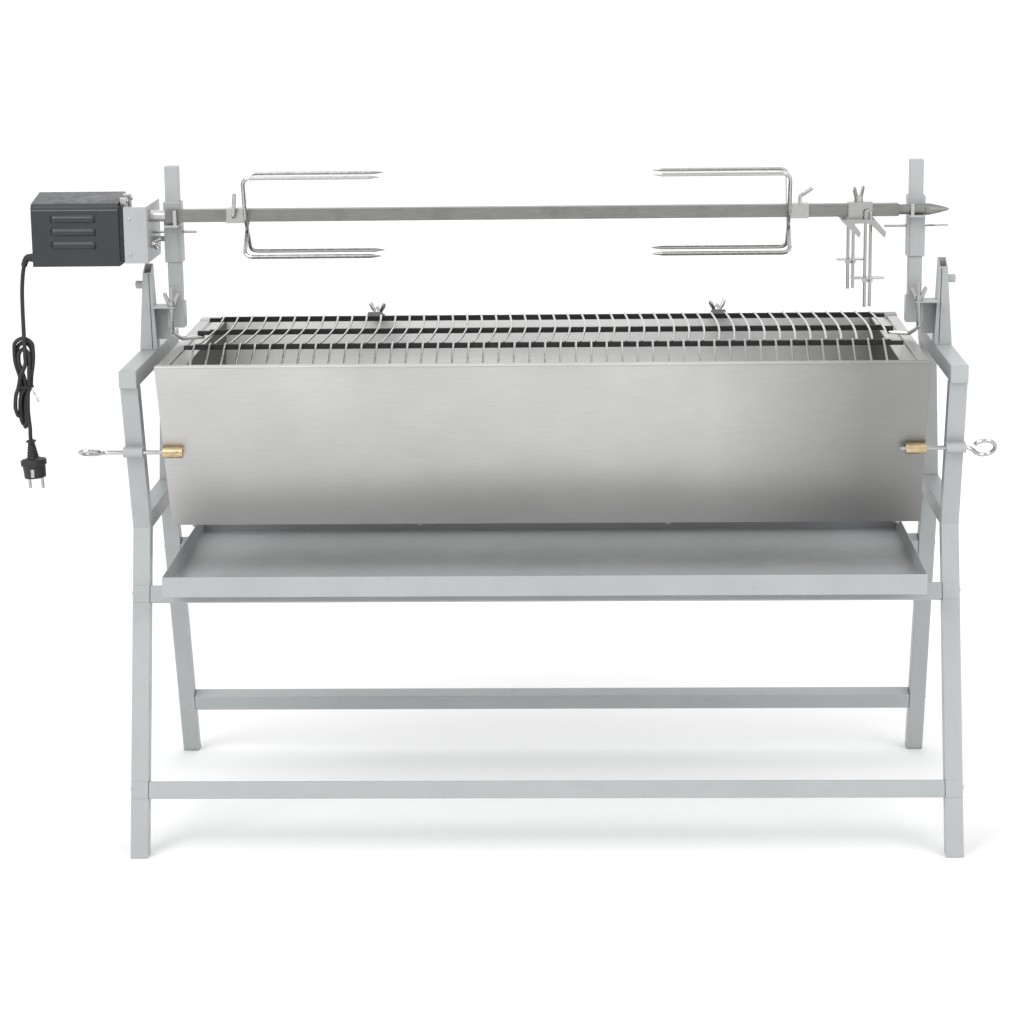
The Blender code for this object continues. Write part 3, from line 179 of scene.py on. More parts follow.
# ---------------------------------------------------------------- materials
class Nodes:
    """A short way to write a material's node tree."""

    def __init__(self, name):
        self.material = bpy.data.materials.new(name)
        self.material.use_nodes = True
        self.tree = self.material.node_tree
        self.shader = self.tree.nodes["Principled BSDF"]
        self.place = self.add("ShaderNodeTexCoord").outputs["Object"]

    def add(self, kind, **settings):
        """A new node with its settings."""
        node = self.tree.nodes.new(kind)
        for key, value in settings.items():
            setattr(node, key, value)
        return node

    def link(self, output, target):
        self.tree.links.new(output, target)

    def scaled(self, scale):
        """The place on the object, stretched: small numbers draw the pattern out along that axis."""
        mapping = self.add("ShaderNodeMapping")
        mapping.inputs["Scale"].default_value = scale
        self.link(self.place, mapping.inputs["Vector"])
        return mapping.outputs["Vector"]

    def noise(self, scale, detail=4.0, roughness=0.55, stretch=(1, 1, 1)):
        """Noise from 0 to 1 over the object, finer as scale grows."""
        node = self.add("ShaderNodeTexNoise")
        node.inputs["Scale"].default_value = scale
        node.inputs["Detail"].default_value = detail
        node.inputs["Roughness"].default_value = roughness
        self.link(self.scaled(stretch), node.inputs["Vector"])
        return node.outputs["Fac"]

    def spread(self, value, low, high, from_low=0.3, from_high=0.7):
        """Maps from_low..from_high to low..high, and holds it at the ends."""
        node = self.add("ShaderNodeMapRange")
        node.inputs["From Min"].default_value = from_low
        node.inputs["From Max"].default_value = from_high
        node.inputs["To Min"].default_value = low
        node.inputs["To Max"].default_value = high
        self.link(value, node.inputs["Value"])
        return node.outputs["Result"]

    def blend(self, factor, first, second):
        """A colour between two. Each is a colour or another node's output."""
        node = self.add("ShaderNodeMix", data_type="RGBA")
        self.link(factor, node.inputs["Factor"])
        for value, target in ((first, node.inputs["A"]), (second, node.inputs["B"])):
            if isinstance(value, tuple):
                target.default_value = (*value, 1)
            else:
                self.link(value, target)
        return node.outputs["Result"]

    def bump(self, height, strength, distance, under=None):
        """A normal that follows a height, laid over another bump."""
        node = self.add("ShaderNodeBump")
        node.inputs["Strength"].default_value = strength
        node.inputs["Distance"].default_value = distance
        self.link(height, node.inputs["Height"])
        if under is not None:
            self.link(under, node.inputs["Normal"])
        return node.outputs["Normal"]

    def math(self, operation, first, second=0.0):
        """A sum on a node's output and a number."""
        node = self.add("ShaderNodeMath", operation=operation)
        self.link(first, node.inputs[0])
        node.inputs[1].default_value = second
        return node.outputs[0]

    def along_stand(self):
        """The place's X, from the middle of the stand."""
        split = self.add("ShaderNodeSeparateXYZ")
        self.link(self.place, split.inputs["Vector"])
        return self.math("SUBTRACT", split.outputs["X"], STAND_X)

    def finish(self, colour=None, roughness=None, normal=None, **constants):
        """Joins the outputs to the shader, sets its constants and hands over the material."""
        for output, socket in ((colour, "Base Color"), (roughness, "Roughness"), (normal, "Normal")):
            if output is not None:
                self.link(output, self.shader.inputs[socket])
        for socket, value in constants.items():
            self.shader.inputs[socket.replace("_", " ")].default_value = value
        return self.material


def shade(colour, factor):
    """A colour made lighter or darker."""
    return tuple(min(channel * factor, 1.0) for channel in colour)


def powder_coat(name, colour, gloss=0.42):
    """Sprayed paint: faint orange peel, cloudy tone and a few rubbed, dusty patches."""
    n = Nodes(name)
    cloudy = n.spread(n.noise(9, 5), 0, 1, 0.35, 0.65)
    rubbed = n.spread(n.noise(55, 6, 0.7), 0, 1, 0.56, 0.74)
    tone = n.blend(cloudy, shade(colour, 0.965), shade(colour, 1.03))
    tone = n.blend(rubbed, tone, shade(colour, 0.90))
    roughness = n.spread(n.noise(70, 3), gloss - 0.05, gloss + 0.09)
    peel = n.bump(n.noise(900, 2), 0.16, 0.0004)
    dents = n.bump(n.noise(14, 2), 0.10, 0.002, peel)
    return n.finish(tone, roughness, dents, Coat_Weight=0.12, Coat_Roughness=0.3)


def brushed_sheet(name, colour, gloss=0.34, painted_shade_inside=None, painted_shade_from=None):
    """Rolled stainless sheet with a grain along its length and soft clouds.

    Given how far the inside begins, all of it nearer the middle of the trough than that is painted
    near-black: painted shade on the end walls' inner faces.
    Given where the right-hand shade begins, it is painted darker from that far to the right: painted shade.
    """
    n = Nodes(name)
    grain = n.noise(1400, 3, 0.6, (0.02, 1, 1))
    clouds = n.spread(n.noise(5.5, 4), 0, 1, 0.35, 0.68)
    tone = n.blend(clouds, shade(colour, 0.93), shade(colour, 1.05))
    tone = n.blend(n.spread(grain, 0, 0.35, 0.3, 0.7), tone, shade(colour, 0.82))
    if painted_shade_inside is not None:
        away = n.math("ABSOLUTE", n.along_stand())
        inside = n.spread(away, 1, 0, painted_shade_inside - 0.0002, painted_shade_inside + 0.0002)
        # Painted shade: the end walls' inner faces are painted near-black.
        tone = n.blend(inside, tone, (0.022, 0.021, 0.020))
    if painted_shade_from is not None:
        # Painted shade: the sheet is painted darker towards its right-hand end.
        right_side_shade = n.spread(n.along_stand(), 0, 0.75, painted_shade_from, painted_shade_from + 0.22)
        tone = n.blend(right_side_shade, tone, shade(colour, 0.35))
    roughness = n.spread(grain, gloss - 0.07, gloss + 0.10)
    fine = n.bump(grain, 0.10, 0.0002)
    waves = n.bump(n.noise(4, 1), 0.12, 0.006, fine)
    return n.finish(tone, roughness, waves, Metallic=0.9, Anisotropic=0.4)


def plated(name, colour, gloss=0.14, speckle=0.25):
    """Bright plating: small ripples in the gloss and darker specks."""
    n = Nodes(name)
    specks = n.spread(n.noise(420, 4, 0.65), 0, speckle, 0.55, 0.75)
    tone = n.blend(specks, colour, shade(colour, 0.55))
    roughness = n.spread(n.noise(160, 3), gloss - 0.03, gloss + 0.12)
    ripple = n.bump(n.noise(260, 2), 0.08, 0.0005)
    return n.finish(tone, roughness, ripple, Metallic=1.0)


def drawn_bar(name, colour, gloss=0.38):
    """Drawn steel with die lines along the bar and a few darker stains."""
    n = Nodes(name)
    lines = n.noise(900, 4, 0.6, (0.03, 1, 1))
    stains = n.spread(n.noise(26, 5, 0.6), 0, 0.6, 0.5, 0.75)
    tone = n.blend(n.spread(lines, 0, 1), shade(colour, 0.85), shade(colour, 1.15))
    tone = n.blend(stains, tone, shade(colour, 0.62))
    roughness = n.spread(lines, gloss - 0.06, gloss + 0.12)
    return n.finish(tone, roughness, n.bump(lines, 0.18, 0.0003), Metallic=0.85)


def scaled_iron(name, colour):
    """Blackened bar: mill scale with brownish patches."""
    n = Nodes(name)
    scale = n.noise(240, 6, 0.7)
    brown = n.spread(n.noise(45, 5, 0.65), 0, 0.5, 0.52, 0.72)
    tone = n.blend(brown, colour, (0.055, 0.040, 0.030))
    roughness = n.spread(scale, 0.42, 0.75)
    return n.finish(tone, roughness, n.bump(scale, 0.35, 0.0005), Metallic=0.25)


def turned_brass(name, colour):
    """Turned brass: tool rings round the X axis and a tarnished tone."""
    n = Nodes(name)
    rings = n.noise(1500, 2, 0.5, (1, 0.02, 0.02))
    tarnish = n.spread(n.noise(120, 4), 0, 0.7, 0.45, 0.7)
    tone = n.blend(tarnish, colour, shade(colour, 0.6))
    return n.finish(tone, n.spread(rings, 0.2, 0.42), n.bump(rings, 0.2, 0.0003), Metallic=1.0)


def enamel(name, colour, gloss=0.40):
    """Stove enamel on folded sheet: fine leather-like peel and dust in the hollows."""
    n = Nodes(name)
    dust = n.spread(n.noise(38, 5, 0.65), 0, 0.5, 0.5, 0.8)
    tone = n.blend(n.spread(n.noise(7, 3), 0, 1), shade(colour, 0.9), shade(colour, 1.12))
    tone = n.blend(dust, tone, shade(colour, 1.45))
    peel = n.bump(n.noise(1300, 2), 0.22, 0.0003)
    roughness = n.spread(n.noise(90, 3), gloss - 0.06, gloss + 0.12)
    return n.finish(tone, roughness, peel, Coat_Weight=0.15, Coat_Roughness=0.35)


def zinc_plate(name, colour):
    """Zinc with its patchwork of crystals."""
    n = Nodes(name)
    cells = n.add("ShaderNodeTexVoronoi")
    cells.inputs["Scale"].default_value = 320
    n.link(n.place, cells.inputs["Vector"])
    split = n.add("ShaderNodeSeparateColor")
    n.link(cells.outputs["Color"], split.inputs["Color"])
    tone = n.blend(split.outputs["Red"], shade(colour, 0.86), shade(colour, 1.1))
    roughness = n.spread(split.outputs["Green"], 0.24, 0.42, 0, 1)
    return n.finish(tone, roughness, n.bump(n.noise(500, 3), 0.08, 0.0003), Metallic=1.0)


def moulded_rubber(name, colour, gloss=0.55):
    """Black flexible plastic: matt skin with faint scuffs."""
    n = Nodes(name)
    scuffs = n.spread(n.noise(90, 5, 0.7, (1, 1, 0.3)), 0, 0.5, 0.55, 0.8)
    tone = n.blend(scuffs, colour, shade(colour, 2.4))
    roughness = n.spread(n.noise(200, 4), gloss - 0.1, gloss + 0.1)
    return n.finish(tone, roughness, n.bump(n.noise(1100, 3), 0.2, 0.0002))


def copper_wire(name, colour):
    """Enamelled winding wire, laid side by side along X."""
    n = Nodes(name)
    turns = n.noise(700, 1, 0.5, (0.01, 1, 1))
    tone = n.blend(n.spread(turns, 0, 1), shade(colour, 0.6), colour)
    return n.finish(tone, n.spread(turns, 0.25, 0.45), n.bump(turns, 0.5, 0.0006), Metallic=0.9)


# The numbers after the colours are gloss: the lower, the shinier.
MATERIALS = {
    "frame_paint": powder_coat("pale_grey_powder_coat", (0.375, 0.392, 0.400)),
    "tray_paint": powder_coat("tray_powder_coat", (0.375, 0.390, 0.396), 0.46),
    # The front sheet carries a painted shade towards its right-hand end.
    "stainless": brushed_sheet("brushed_stainless", (0.575, 0.572, 0.560), gloss=0.46, painted_shade_from=0.24),
    # The end walls carry a painted shade on their inner faces.
    "end_walls": brushed_sheet("end_walls_painted_shade", (0.47, 0.467, 0.457), painted_shade_inside=END_WALL_X),
    "chrome": plated("bright_plating", (0.46, 0.46, 0.45), 0.16, 0.12),
    "dull_steel": drawn_bar("drawn_steel", (0.24, 0.24, 0.225)),
    "fork_steel": plated("satin_plating", (0.50, 0.50, 0.485), 0.2, 0.12),
    "black_iron": scaled_iron("blackened_iron", (0.022, 0.022, 0.023)),
    "brass": turned_brass("turned_brass", (0.60, 0.47, 0.29)),
    "motor_paint": enamel("slate_enamel", (0.018, 0.021, 0.024)),
    "motor_black": enamel("black_enamel", (0.008, 0.009, 0.010), 0.5),
    # Lighter enamel for painted highlights on the motor cover.
    "painted_highlight": enamel("painted_highlight_enamel", (0.16, 0.165, 0.17), 0.3),
    "zinc": zinc_plate("zinc_plating", (0.50, 0.50, 0.49)),
    "copper": copper_wire("copper_windings", (0.62, 0.28, 0.14)),
    "rubber_black": moulded_rubber("black_rubber", (0.016, 0.016, 0.017)),
}


# ---------------------------------------------------------------- mains lead
LEAD_DIAMETER = 0.006
EXIT = Vector((STAND_X - 0.752, -0.030, 0.843))
HANK = Vector((STAND_X - 0.770, EXIT.y, 0))
TIE_Z = 0.6515
FIRST_TURN_Z = 0.7235
LAST_TURN_Z = 0.600
# Each pass through the hank, first one down and the next one up: its sideways place in the
# upper loop, at the tie and in the lower loop, its depth, and the height of the turn after it.
PASSES = (
    (0.0030, -0.0090, -0.0150, -0.0085, 0.6075),
    (-0.0145, -0.0060, -0.0085, 0.0010, 0.7235),
    (0.0140, 0.0080, -0.0010, -0.0020, 0.5900),
    (-0.0115, -0.0020, -0.0065, 0.0055, 0.7165),
    (0.0105, 0.0035, -0.0035, 0.0045, 0.5950),
    (-0.0080, 0.0010, -0.0090, -0.0025, 0.7080),
    (0.0085, 0.0062, 0.0032, -0.0055, None),
)
PLUG_TOP = HANK + Vector((0.0046, -0.004, 0.571))
PLUG_DOWN = Vector((0.075, 0, -1)).normalized()


def smooth_curve(route, per_span):
    """Points on a Catmull-Rom curve through the route."""
    route = [Vector(point) for point in route]
    ends = [2 * route[0] - route[1], *route, 2 * route[-1] - route[-2]]
    points = []
    for p0, p1, p2, p3 in zip(ends, ends[1:], ends[2:], ends[3:]):
        for step in range(per_span):
            t = step / per_span
            bend = (2 * p0 - 5 * p1 + 4 * p2 - p3) * t**2 + (3 * p1 - p0 - 3 * p2 + p3) * t**3
            points.append(0.5 * (2 * p1 + (p2 - p0) * t + bend))
    points.append(route[-1])
    return points


def hank_pass(index):
    """The points of one pass, in the order that the lead runs through them."""
    top, tie, bottom, depth, next_turn = PASSES[index]
    next_turn = next_turn or LAST_TURN_Z
    last_turn = PASSES[index - 1][4] if index else FIRST_TURN_Z
    down = index % 2 == 0
    high_turn, low_turn = (last_turn, next_turn) if down else (next_turn, last_turn)
    shape = (
        (top * 0.86, high_turn - 0.0065),
        (top, high_turn - 0.020),
        (top * 0.93, 0.686),
        (tie + (top - tie) * 0.30, 0.667),
        (tie, TIE_Z),
        (bottom + (tie - bottom) * 0.30, 0.640),
        (bottom, 0.625),
        (bottom * 0.97, low_turn + 0.010),
    )
    points = [HANK + Vector((x, depth, z)) for x, z in shape]
    return points if down else points[::-1]


def lead_route():
    """Down from the motor, to and fro through the tied hank, and out to the plug."""
    fall = ((0.0110, 0, 0.8415), (0.0058, -0.001, 0.827), (0.0026, -0.003, 0.797), (0.0024, -0.006, 0.760))
    route = [EXIT, *(HANK + Vector(point) for point in fall)]
    for index, (_, _, bottom, depth, turn) in enumerate(PASSES):
        points = hank_pass(index)
        route += points[1:] if index == 0 else points
        if turn is None:
            break
        following = PASSES[index + 1]
        sides = (bottom, following[2]) if index % 2 == 0 else (PASSES[index][0], following[0])
        route.append(HANK + Vector((sum(sides) / 2, (depth + following[3]) / 2, turn)))
    return [*route, HANK + Vector((0.0044, -0.0045, 0.590)), PLUG_TOP - PLUG_DOWN * 0.006, PLUG_TOP]


def build_strain_relief(points):
    """A ribbed, tapered sleeve round the first stretch of the lead."""
    steps = len(points) - 1
    radii = [0.0062 - 0.0016 * i / steps - 0.0004 * (i % 2) for i in range(len(points))]
    bm = bmesh.new()
    sweep(bm, points, radii)
    return add_piece("lead_strain_relief", bm, "rubber_black", "left_carriage", 60)


def build_lead():
    """The mains lead at its full length, with what is on it."""
    points = smooth_curve(lead_route(), 6)
    curve = bpy.data.curves.new("mains_lead", "CURVE")
    curve.dimensions = "3D"
    curve.bevel_depth = LEAD_DIAMETER / 2
    curve.bevel_resolution = 5
    curve.use_fill_caps = True
    spline = curve.splines.new("POLY")
    spline.points.add(len(points) - 1)
    spline.use_smooth = True
    for target, point in zip(spline.points, points):
        target.co = (*point, 1)
    curve.materials.append(MATERIALS["rubber_black"])
    lead = bpy.data.objects.new("mains_lead", curve)
    bpy.context.scene.collection.objects.link(lead)
    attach(lead, "left_carriage")
    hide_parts("lead", "lead_hank", "lead_tail")

    relief = build_strain_relief(points[:12])
    ties = build_tie()
    plug = build_plug()


def build_tie():
    """A paper-covered wire wound twice round the hank's waist, its twisted ends sticking out."""
    centre = HANK + Vector((-0.0005, -0.0012, TIE_Z))
    turns, steps = 2, 48
    points = []
    for i in range(steps + 1):
        angle = 2 * math.pi * turns * i / steps
        offset = Vector((0.0122 * math.cos(angle), 0.0116 * math.sin(angle), 0.0030 * i / steps - 0.0015))
        points.append(centre + offset)
    bm = bmesh.new()
    sweep(bm, points, [0.0008] * len(points), 8)
    band = add_piece("tie_band", bm, "rubber_black", "left_carriage", 60)

    start = centre + Vector((0.0100, -0.006, 0))
    bm = bmesh.new()
    for phase in (0, math.pi):
        twisted = []
        for i in range(22):
            along = i / 21
            angle = 9 * along + phase
            axis = start + Vector((0.0115, -0.004, -0.022)) * along
            twisted.append(axis + 0.0011 * (0.4 + along) * Vector((math.cos(angle), math.sin(angle), 0)))
        sweep(bm, twisted, [0.0006] * len(twisted), 6)
    ends = add_piece("tie_ends", bm, "zinc", "left_carriage", 60)
    return band, ends


def build_plug():
    """Round two-pin plug: ribbed strain relief, wide grip flange, stepped body, split pins."""
    bm = bmesh.new()
    profile = [(0.0, 0.0066), (0.0006, 0.0076), (0.0026, 0.0076), (0.0034, 0.0048)]
    rib = ((0.0, 0.0), (0.0006, 0.0007), (0.0022, 0.0008), (0.0028, 0.0))
    for i in range(5):
        profile += [(0.0050 + 0.0040 * i + along, 0.0050 + 0.0007 * i + rise) for along, rise in rib]
    profile += [
        (0.0262, 0.0090),
        (0.0278, 0.0130),
        (0.0292, 0.0182),
        (0.0306, 0.0192),
        (0.0362, 0.0194),
        (0.0376, 0.0186),
        (0.0384, 0.0174),
        (0.0392, 0.0170),
        (0.0552, 0.0162),
        (0.0566, 0.0154),
        (0.0570, 0.0140),
    ]
    lathe(bm, PLUG_TOP, PLUG_DOWN, profile, 40)
    body = add_piece("plug_body", bm, "rubber_black", "left_carriage", 40)
    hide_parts("mains_plug")

    bm = bmesh.new()
    for sign in (-1, 1):
        base = PLUG_TOP + PLUG_DOWN * 0.0565 + Vector((sign * 0.0095, 0, 0))
        lathe(bm, base, PLUG_DOWN, [(0, 0.0024), (0.0160, 0.0024), (0.0170, 0.0016), (0.0173, 0.0006)], 20)
    pins = add_piece("plug_pins", bm, "chrome", "left_carriage", 40)

    bm = bmesh.new()
    for sign in (-1, 1):
        centre = PLUG_TOP + PLUG_DOWN * 0.0480 + Vector((0, sign * 0.0166, 0))
        slab(bm, centre, AXES, (0.005, 0.0016, 0.012))
    clips = add_piece("plug_earth_clips", bm, "zinc", "left_carriage")
    bevelled(clips, 0.0003)
    return body, pins, clips


build_lead()


# ---------------------------------------------------------------- carried-over CAD nodes
# Each material with the words in its nodes' names. A later material wins where two match.
FINISH = {
    "frame_paint": [
        "leg",
        "shoulder_tube",
        "waist_tube",
        "lower_bar",
        "upper_bar",
        "upright",
        "post_",
        "spit_sleeve",
        "motor_bracket",
    ],
    "tray_paint": ["ash_tray"],
    "stainless": ["trough"],
    "end_walls": ["trough_end"],
    "brass": ["pin_bush"],
    "chrome": ["grate", "hanger", "eye_pin", "height_pin", "clamp_collar", "u_bolt"],
    "black_iron": ["grate_bar"],
    "dull_steel": ["motor_rotor"],
    "fork_steel": ["fork_"],
    "zinc": ["motor_stator", "output_socket", "clamp_screw", "u_bolt_plate", "fork_screw"],
    "motor_paint": ["motor_cover"],
    "motor_black": ["motor_end_plate"],
}
# How far each kind of node's edges are rounded.
BEVELS = {
    "leg": 0.0022,
    "shoulder_tube": 0.0022,
    "waist_tube": 0.0022,
    "lower_bar": 0.0022,
    "upper_bar": 0.0022,
    "upright": 0.0009,
    "post_": 0.0012,
    "spit_sleeve": 0.0014,
    "motor_bracket": 0.0006,
    "ash_tray": 0.0006,
    "trough": 0.0005,
    "motor_cover": 0.0008,
    "clamp_collar": 0.0008,
    "pin_bush": 0.0006,
    "grate_bar": 0.0006,
}
STRIP_HIGH = 0.0017                         # the weld strips' tops above the bars


def finish_cad_nodes():
    """Gives every shown CAD node its material, and softens the edges of folded and square pieces."""
    for name, node in NODES.items():
        material = "dull_steel"
        for candidate, patterns in FINISH.items():
            if any(pattern in name for pattern in patterns):
                material = candidate
        node.data.materials.clear()
        node.data.materials.append(MATERIALS[material])
        for pattern, width in BEVELS.items():
            if pattern in name and "hanger" not in name:
                bevelled(node, width)
                break


def blacken_weld_strips():
    """The thin strips that join the grates' rods are burnt as black as the bars under them."""
    low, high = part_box("grate_bar_front")
    half_bar = (high.y - low.y) / 2
    strip_top = high.z + STRIP_HIGH
    bar_rows = [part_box(f"grate_bar_{row}")[0].y + half_bar for row in ("front", "middle", "rear")]
    for name in ("main_grate", "front_grate"):
        mesh = NODES[name].data
        mesh.materials.append(MATERIALS["black_iron"])
        for face in mesh.polygons:
            on_bar = min(abs(face.center.y - y) for y in bar_rows) < half_bar + 0.0004
            upright_or_flat = abs(face.normal.z) + abs(face.normal.y) > 0.9
            if on_bar and upright_or_flat and face.center.z < strip_top + 0.0001:
                face.material_index = 1


finish_cad_nodes()
blacken_weld_strips()


# ---------------------------------------------------------------- small hardware
def head_profile(radius, height):
    """Domed screw head, from its seat outwards."""
    dome = ((0.35, 1.0), (0.7, 0.86), (0.93, 0.55), (1.0, 0.15))
    return [(-0.0006, radius), *((height * up, radius * wide) for up, wide in dome)]


def add_screws(name, places, axis, radius, height, body):
    """Zinc-plated screw heads at these places, as one piece."""
    bm = bmesh.new()
    for place in places:
        lathe(bm, place, axis, head_profile(radius, height), 20)
    return add_piece(name, bm, "zinc", body, 50)


def add_wing_nut(name, seat, up, across, size, body):
    """Cast wing nut: coned hub, two rounded wings and the end of its bolt."""
    seat, up, across = Vector(seat), Vector(up).normalized(), Vector(across).normalized()
    bm = bmesh.new()
    hub = ((0, 0.0066), (0.0012, 0.0070), (0.0085, 0.0048), (0.0092, 0.0040))
    bolt = ((0, 0.0029), (0.0050, 0.0029), (0.0056, 0.0022))
    lathe(bm, seat, up, [(along * size, radius * size) for along, radius in hub], 24)
    lathe(bm, seat + up * 0.008 * size, up, [(along * size, radius * size) for along, radius in bolt], 16)
    for sign in (-1, 1):
        path = [(0.0035, 0.0040), (0.0065, 0.0065), (0.0095, 0.0105), (0.0118, 0.0150), (0.0128, 0.0185)]
        points = [seat + size * (across * sign * a + up * b) for a, b in path]
        sweep(bm, points, [size * r for r in (0.0026, 0.0030, 0.0034, 0.0036, 0.0022)], 12)
    return add_piece(name, bm, "chrome", body, 60)


STAND_BARS = ("front_lower_bar", "rear_lower_bar", "front_upper_bar", "rear_upper_bar")
BAR_LEAN = math.atan2(0.139, 0.459)         # the lower legs' lean, from upright


def middle_of(node):
    """The middle of a CAD node's box."""
    low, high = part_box(node)
    return (low + high) / 2


def leg_outside(side, sign):
    """The X of the legs' outer faces on one side."""
    low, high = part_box(f"rear_leg_{side}")
    return high.x if sign > 0 else low.x


def build_bar_screws():
    """A screw through each end of the stand's bars."""
    for side, sign in SIDES:
        outer = leg_outside(side, sign)
        places = [(outer, middle_of(bar).y, middle_of(bar).z + 0.002) for bar in STAND_BARS]
        add_screws(f"bar_screws_{side}", places, (sign, 0, 0), 0.0040, 0.0026, "frame")


def bar_frame(bar):
    """The middle of a leaning bar, and the unit vectors out of its outer face and up along the leg."""
    middle = middle_of(bar)
    end = -1 if middle.y < 0 else 1
    outward = Vector((0, end * math.cos(BAR_LEAN), math.sin(BAR_LEAN)))
    along = Vector((0, -end * math.sin(BAR_LEAN), math.cos(BAR_LEAN)))
    return middle, outward, along


def build_bar_saddles():
    """The bars' ends are notched round the legs: a thin lip lies on each leg's outer face."""
    half_tube = 0.0125
    for bar in STAND_BARS:
        middle, outward, along = bar_frame(bar)
        for side, sign in SIDES:
            bm = bmesh.new()
            leg_x = leg_outside(side, sign) - sign * half_tube
            centre = Vector((leg_x, middle.y, middle.z)) + outward * (half_tube + 0.0004)
            slab(bm, centre, ((1, 0, 0), outward, along), (0.0242, 0.0008, 0.0244))
            lip = add_piece(f"{bar}_lip_{side}", bm, "frame_paint", "frame")
            bevelled(lip, 0.0003)


def build_trough_hardware():
    """Screws under the trough's front edge, the rear lugs' wing nuts, and the front rim's rounded fold."""
    places = [(STAND_X + x, -0.1165, 0.4600) for x in (-0.512, -0.181, 0.181, 0.512)]
    add_screws("trough_floor_screws", places, (0, 0, -1), 0.0045, 0.0040, "frame")
    turn = 0.5
    for i, (_, sign) in enumerate(SIDES):
        seat = (STAND_X + sign * 0.266, 0.2430, 0.7155)
        across = (math.cos(turn), sign * math.sin(turn), 0)
        add_wing_nut(f"rear_wing_nut_{i}", seat, (0, 0, 1), across, 1.0, "grate")
    low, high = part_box("trough_front_panel")
    fold_y, fold_z = low.y + 0.0004, high.z - 0.0012
    bm = bmesh.new()
    sweep(bm, [(low.x + 0.001, fold_y, fold_z), (high.x - 0.001, fold_y, fold_z)], [0.0016, 0.0016], 12)
    add_piece("front_rim_hem", bm, "stainless", "frame", 60)


MOTOR_FRONT = -0.060                        # the cover's front face
MOTOR_LEFT = STAND_X - 0.744
END_PLATE_X = STAND_X - 0.6165
BRACKET_X = STAND_X - 0.5745                # the bracket's web beside the sleeve


def build_louvre(index, x0, x1, z):
    """A pressed louvre: a slit under a hood, with a painted highlight along its two top edges."""
    sections = (
        (0.0003, 0.0010),
        (-0.0014, 0.0004),
        (-0.0024, -0.0012),
        (-0.0024, -0.0050),
        (-0.0014, -0.0082),
        (0.0003, -0.0096),
    )
    steps = 14
    bm = bmesh.new()
    rows = []
    for depth, rise in sections:
        row = []
        for step in range(steps + 1):
            share = step / steps
            lift = math.sin(min(min(share, 1 - share) / 0.08, 1) * math.pi / 2)
            row.append(bm.verts.new((x0 + (x1 - x0) * share, MOTOR_FRONT + depth * lift, z + rise)))
        rows.append(row)
    for first, second in zip(rows, rows[1:]):
        for a in range(steps):
            bm.faces.new((first[a], first[a + 1], second[a + 1], second[a]))
    hood = add_piece(f"motor_louvre_{index}", bm, "motor_paint", "left_carriage", 50)
    hood.modifiers.new("thickness", "SOLIDIFY").thickness = 0.0004
    # Painted highlight: two thin strips of lighter enamel along the hood's top edges.
    bm = bmesh.new()
    for depth, rise in ((-0.0012, 0.0008), (-0.0025, -0.0016)):
        edge = [(x, MOTOR_FRONT + depth, z + rise) for x in (x0 + 0.004, x1 - 0.004)]
        sweep(bm, edge, [0.0004, 0.0004], 8)
    add_piece(f"louvre_highlights_{index}", bm, "painted_highlight", "left_carriage", 60)


def build_shoulder_caps():
    """Welded plates that close the ends of the shoulder tubes."""
    for side, _ in SIDES:
        low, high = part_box(f"shoulder_tube_{side}")
        bm = bmesh.new()
        for y in (low.y + 0.0003, high.y - 0.0003):
            centre = ((low.x + high.x) / 2, y, (low.z + high.z) / 2)
            slab(bm, centre, AXES, (high.x - low.x - 0.0010, 0.0014, high.z - low.z - 0.0010))
        bevelled(add_piece(f"shoulder_caps_{side}", bm, "frame_paint", "frame"), 0.0004)


def build_cover_details():
    """The cover's three pressed louvres and a painted highlight along its upper fold."""
    for i, z in enumerate((0.9062, 0.8872, 0.8682)):
        build_louvre(i, STAND_X - 0.716, STAND_X - 0.650, z)
    # Painted highlight: a thin strip of lighter enamel along the cover's upper fold.
    bm = bmesh.new()
    fold = [(MOTOR_LEFT + x, MOTOR_FRONT - 0.0001, 0.9150) for x in (0.0012, 0.1268)]
    sweep(bm, fold, [0.0006, 0.0006], 10)
    add_piece("cover_fold_highlight", bm, "painted_highlight", "left_carriage", 60)


def build_end_plate_details():
    """The motor's end plate: its folded rim, and the two tabs of the bracket with their screws."""
    lean = 0.12
    bm = bmesh.new()
    slab(bm, (END_PLATE_X + 0.0035, -0.0570, 0.880), AXES, (0.0070, 0.0012, 0.082))
    top_axes = ((1, 0, 0), (0, 1, lean), (0, -lean, 1))
    slab(bm, (END_PLATE_X + 0.0035, -0.0250, 0.9215), top_axes, (0.0070, 0.060, 0.0012))
    bevelled(add_piece("end_plate_rim", bm, "motor_black", "left_carriage"), 0.0004)
    bm = bmesh.new()
    slab(bm, (END_PLATE_X + 0.0060, -0.040, 0.9230), AXES, (0.0100, 0.0140, 0.0160))
    slab(bm, (END_PLATE_X + 0.0075, -0.018, 0.9255), AXES, (0.0120, 0.0120, 0.0180))
    bevelled(add_piece("bracket_tabs", bm, "zinc", "left_carriage"), 0.0012, 3)
    places = [(END_PLATE_X + 0.0112, -0.040, 0.926), (END_PLATE_X + 0.0136, -0.018, 0.928)]
    add_screws("end_plate_screws", places, (1, 0, 0), 0.0032, 0.0022, "left_carriage")


def build_bracket_details():
    """The wing nut that clamps the motor's bracket, and two rivets on its front."""
    seat = (BRACKET_X + 0.0002, -0.030, 0.862)
    add_wing_nut("bracket_wing_nut", seat, (1, 0, 0), (0, 0.75, 0.66), 0.75, "left_carriage")
    places = [(STAND_X - 0.600, MOTOR_FRONT - 0.001, z) for z in (0.850, 0.902)]
    add_screws("bracket_rivets", places, (0, -1, 0), 0.0026, 0.0012, "left_carriage")


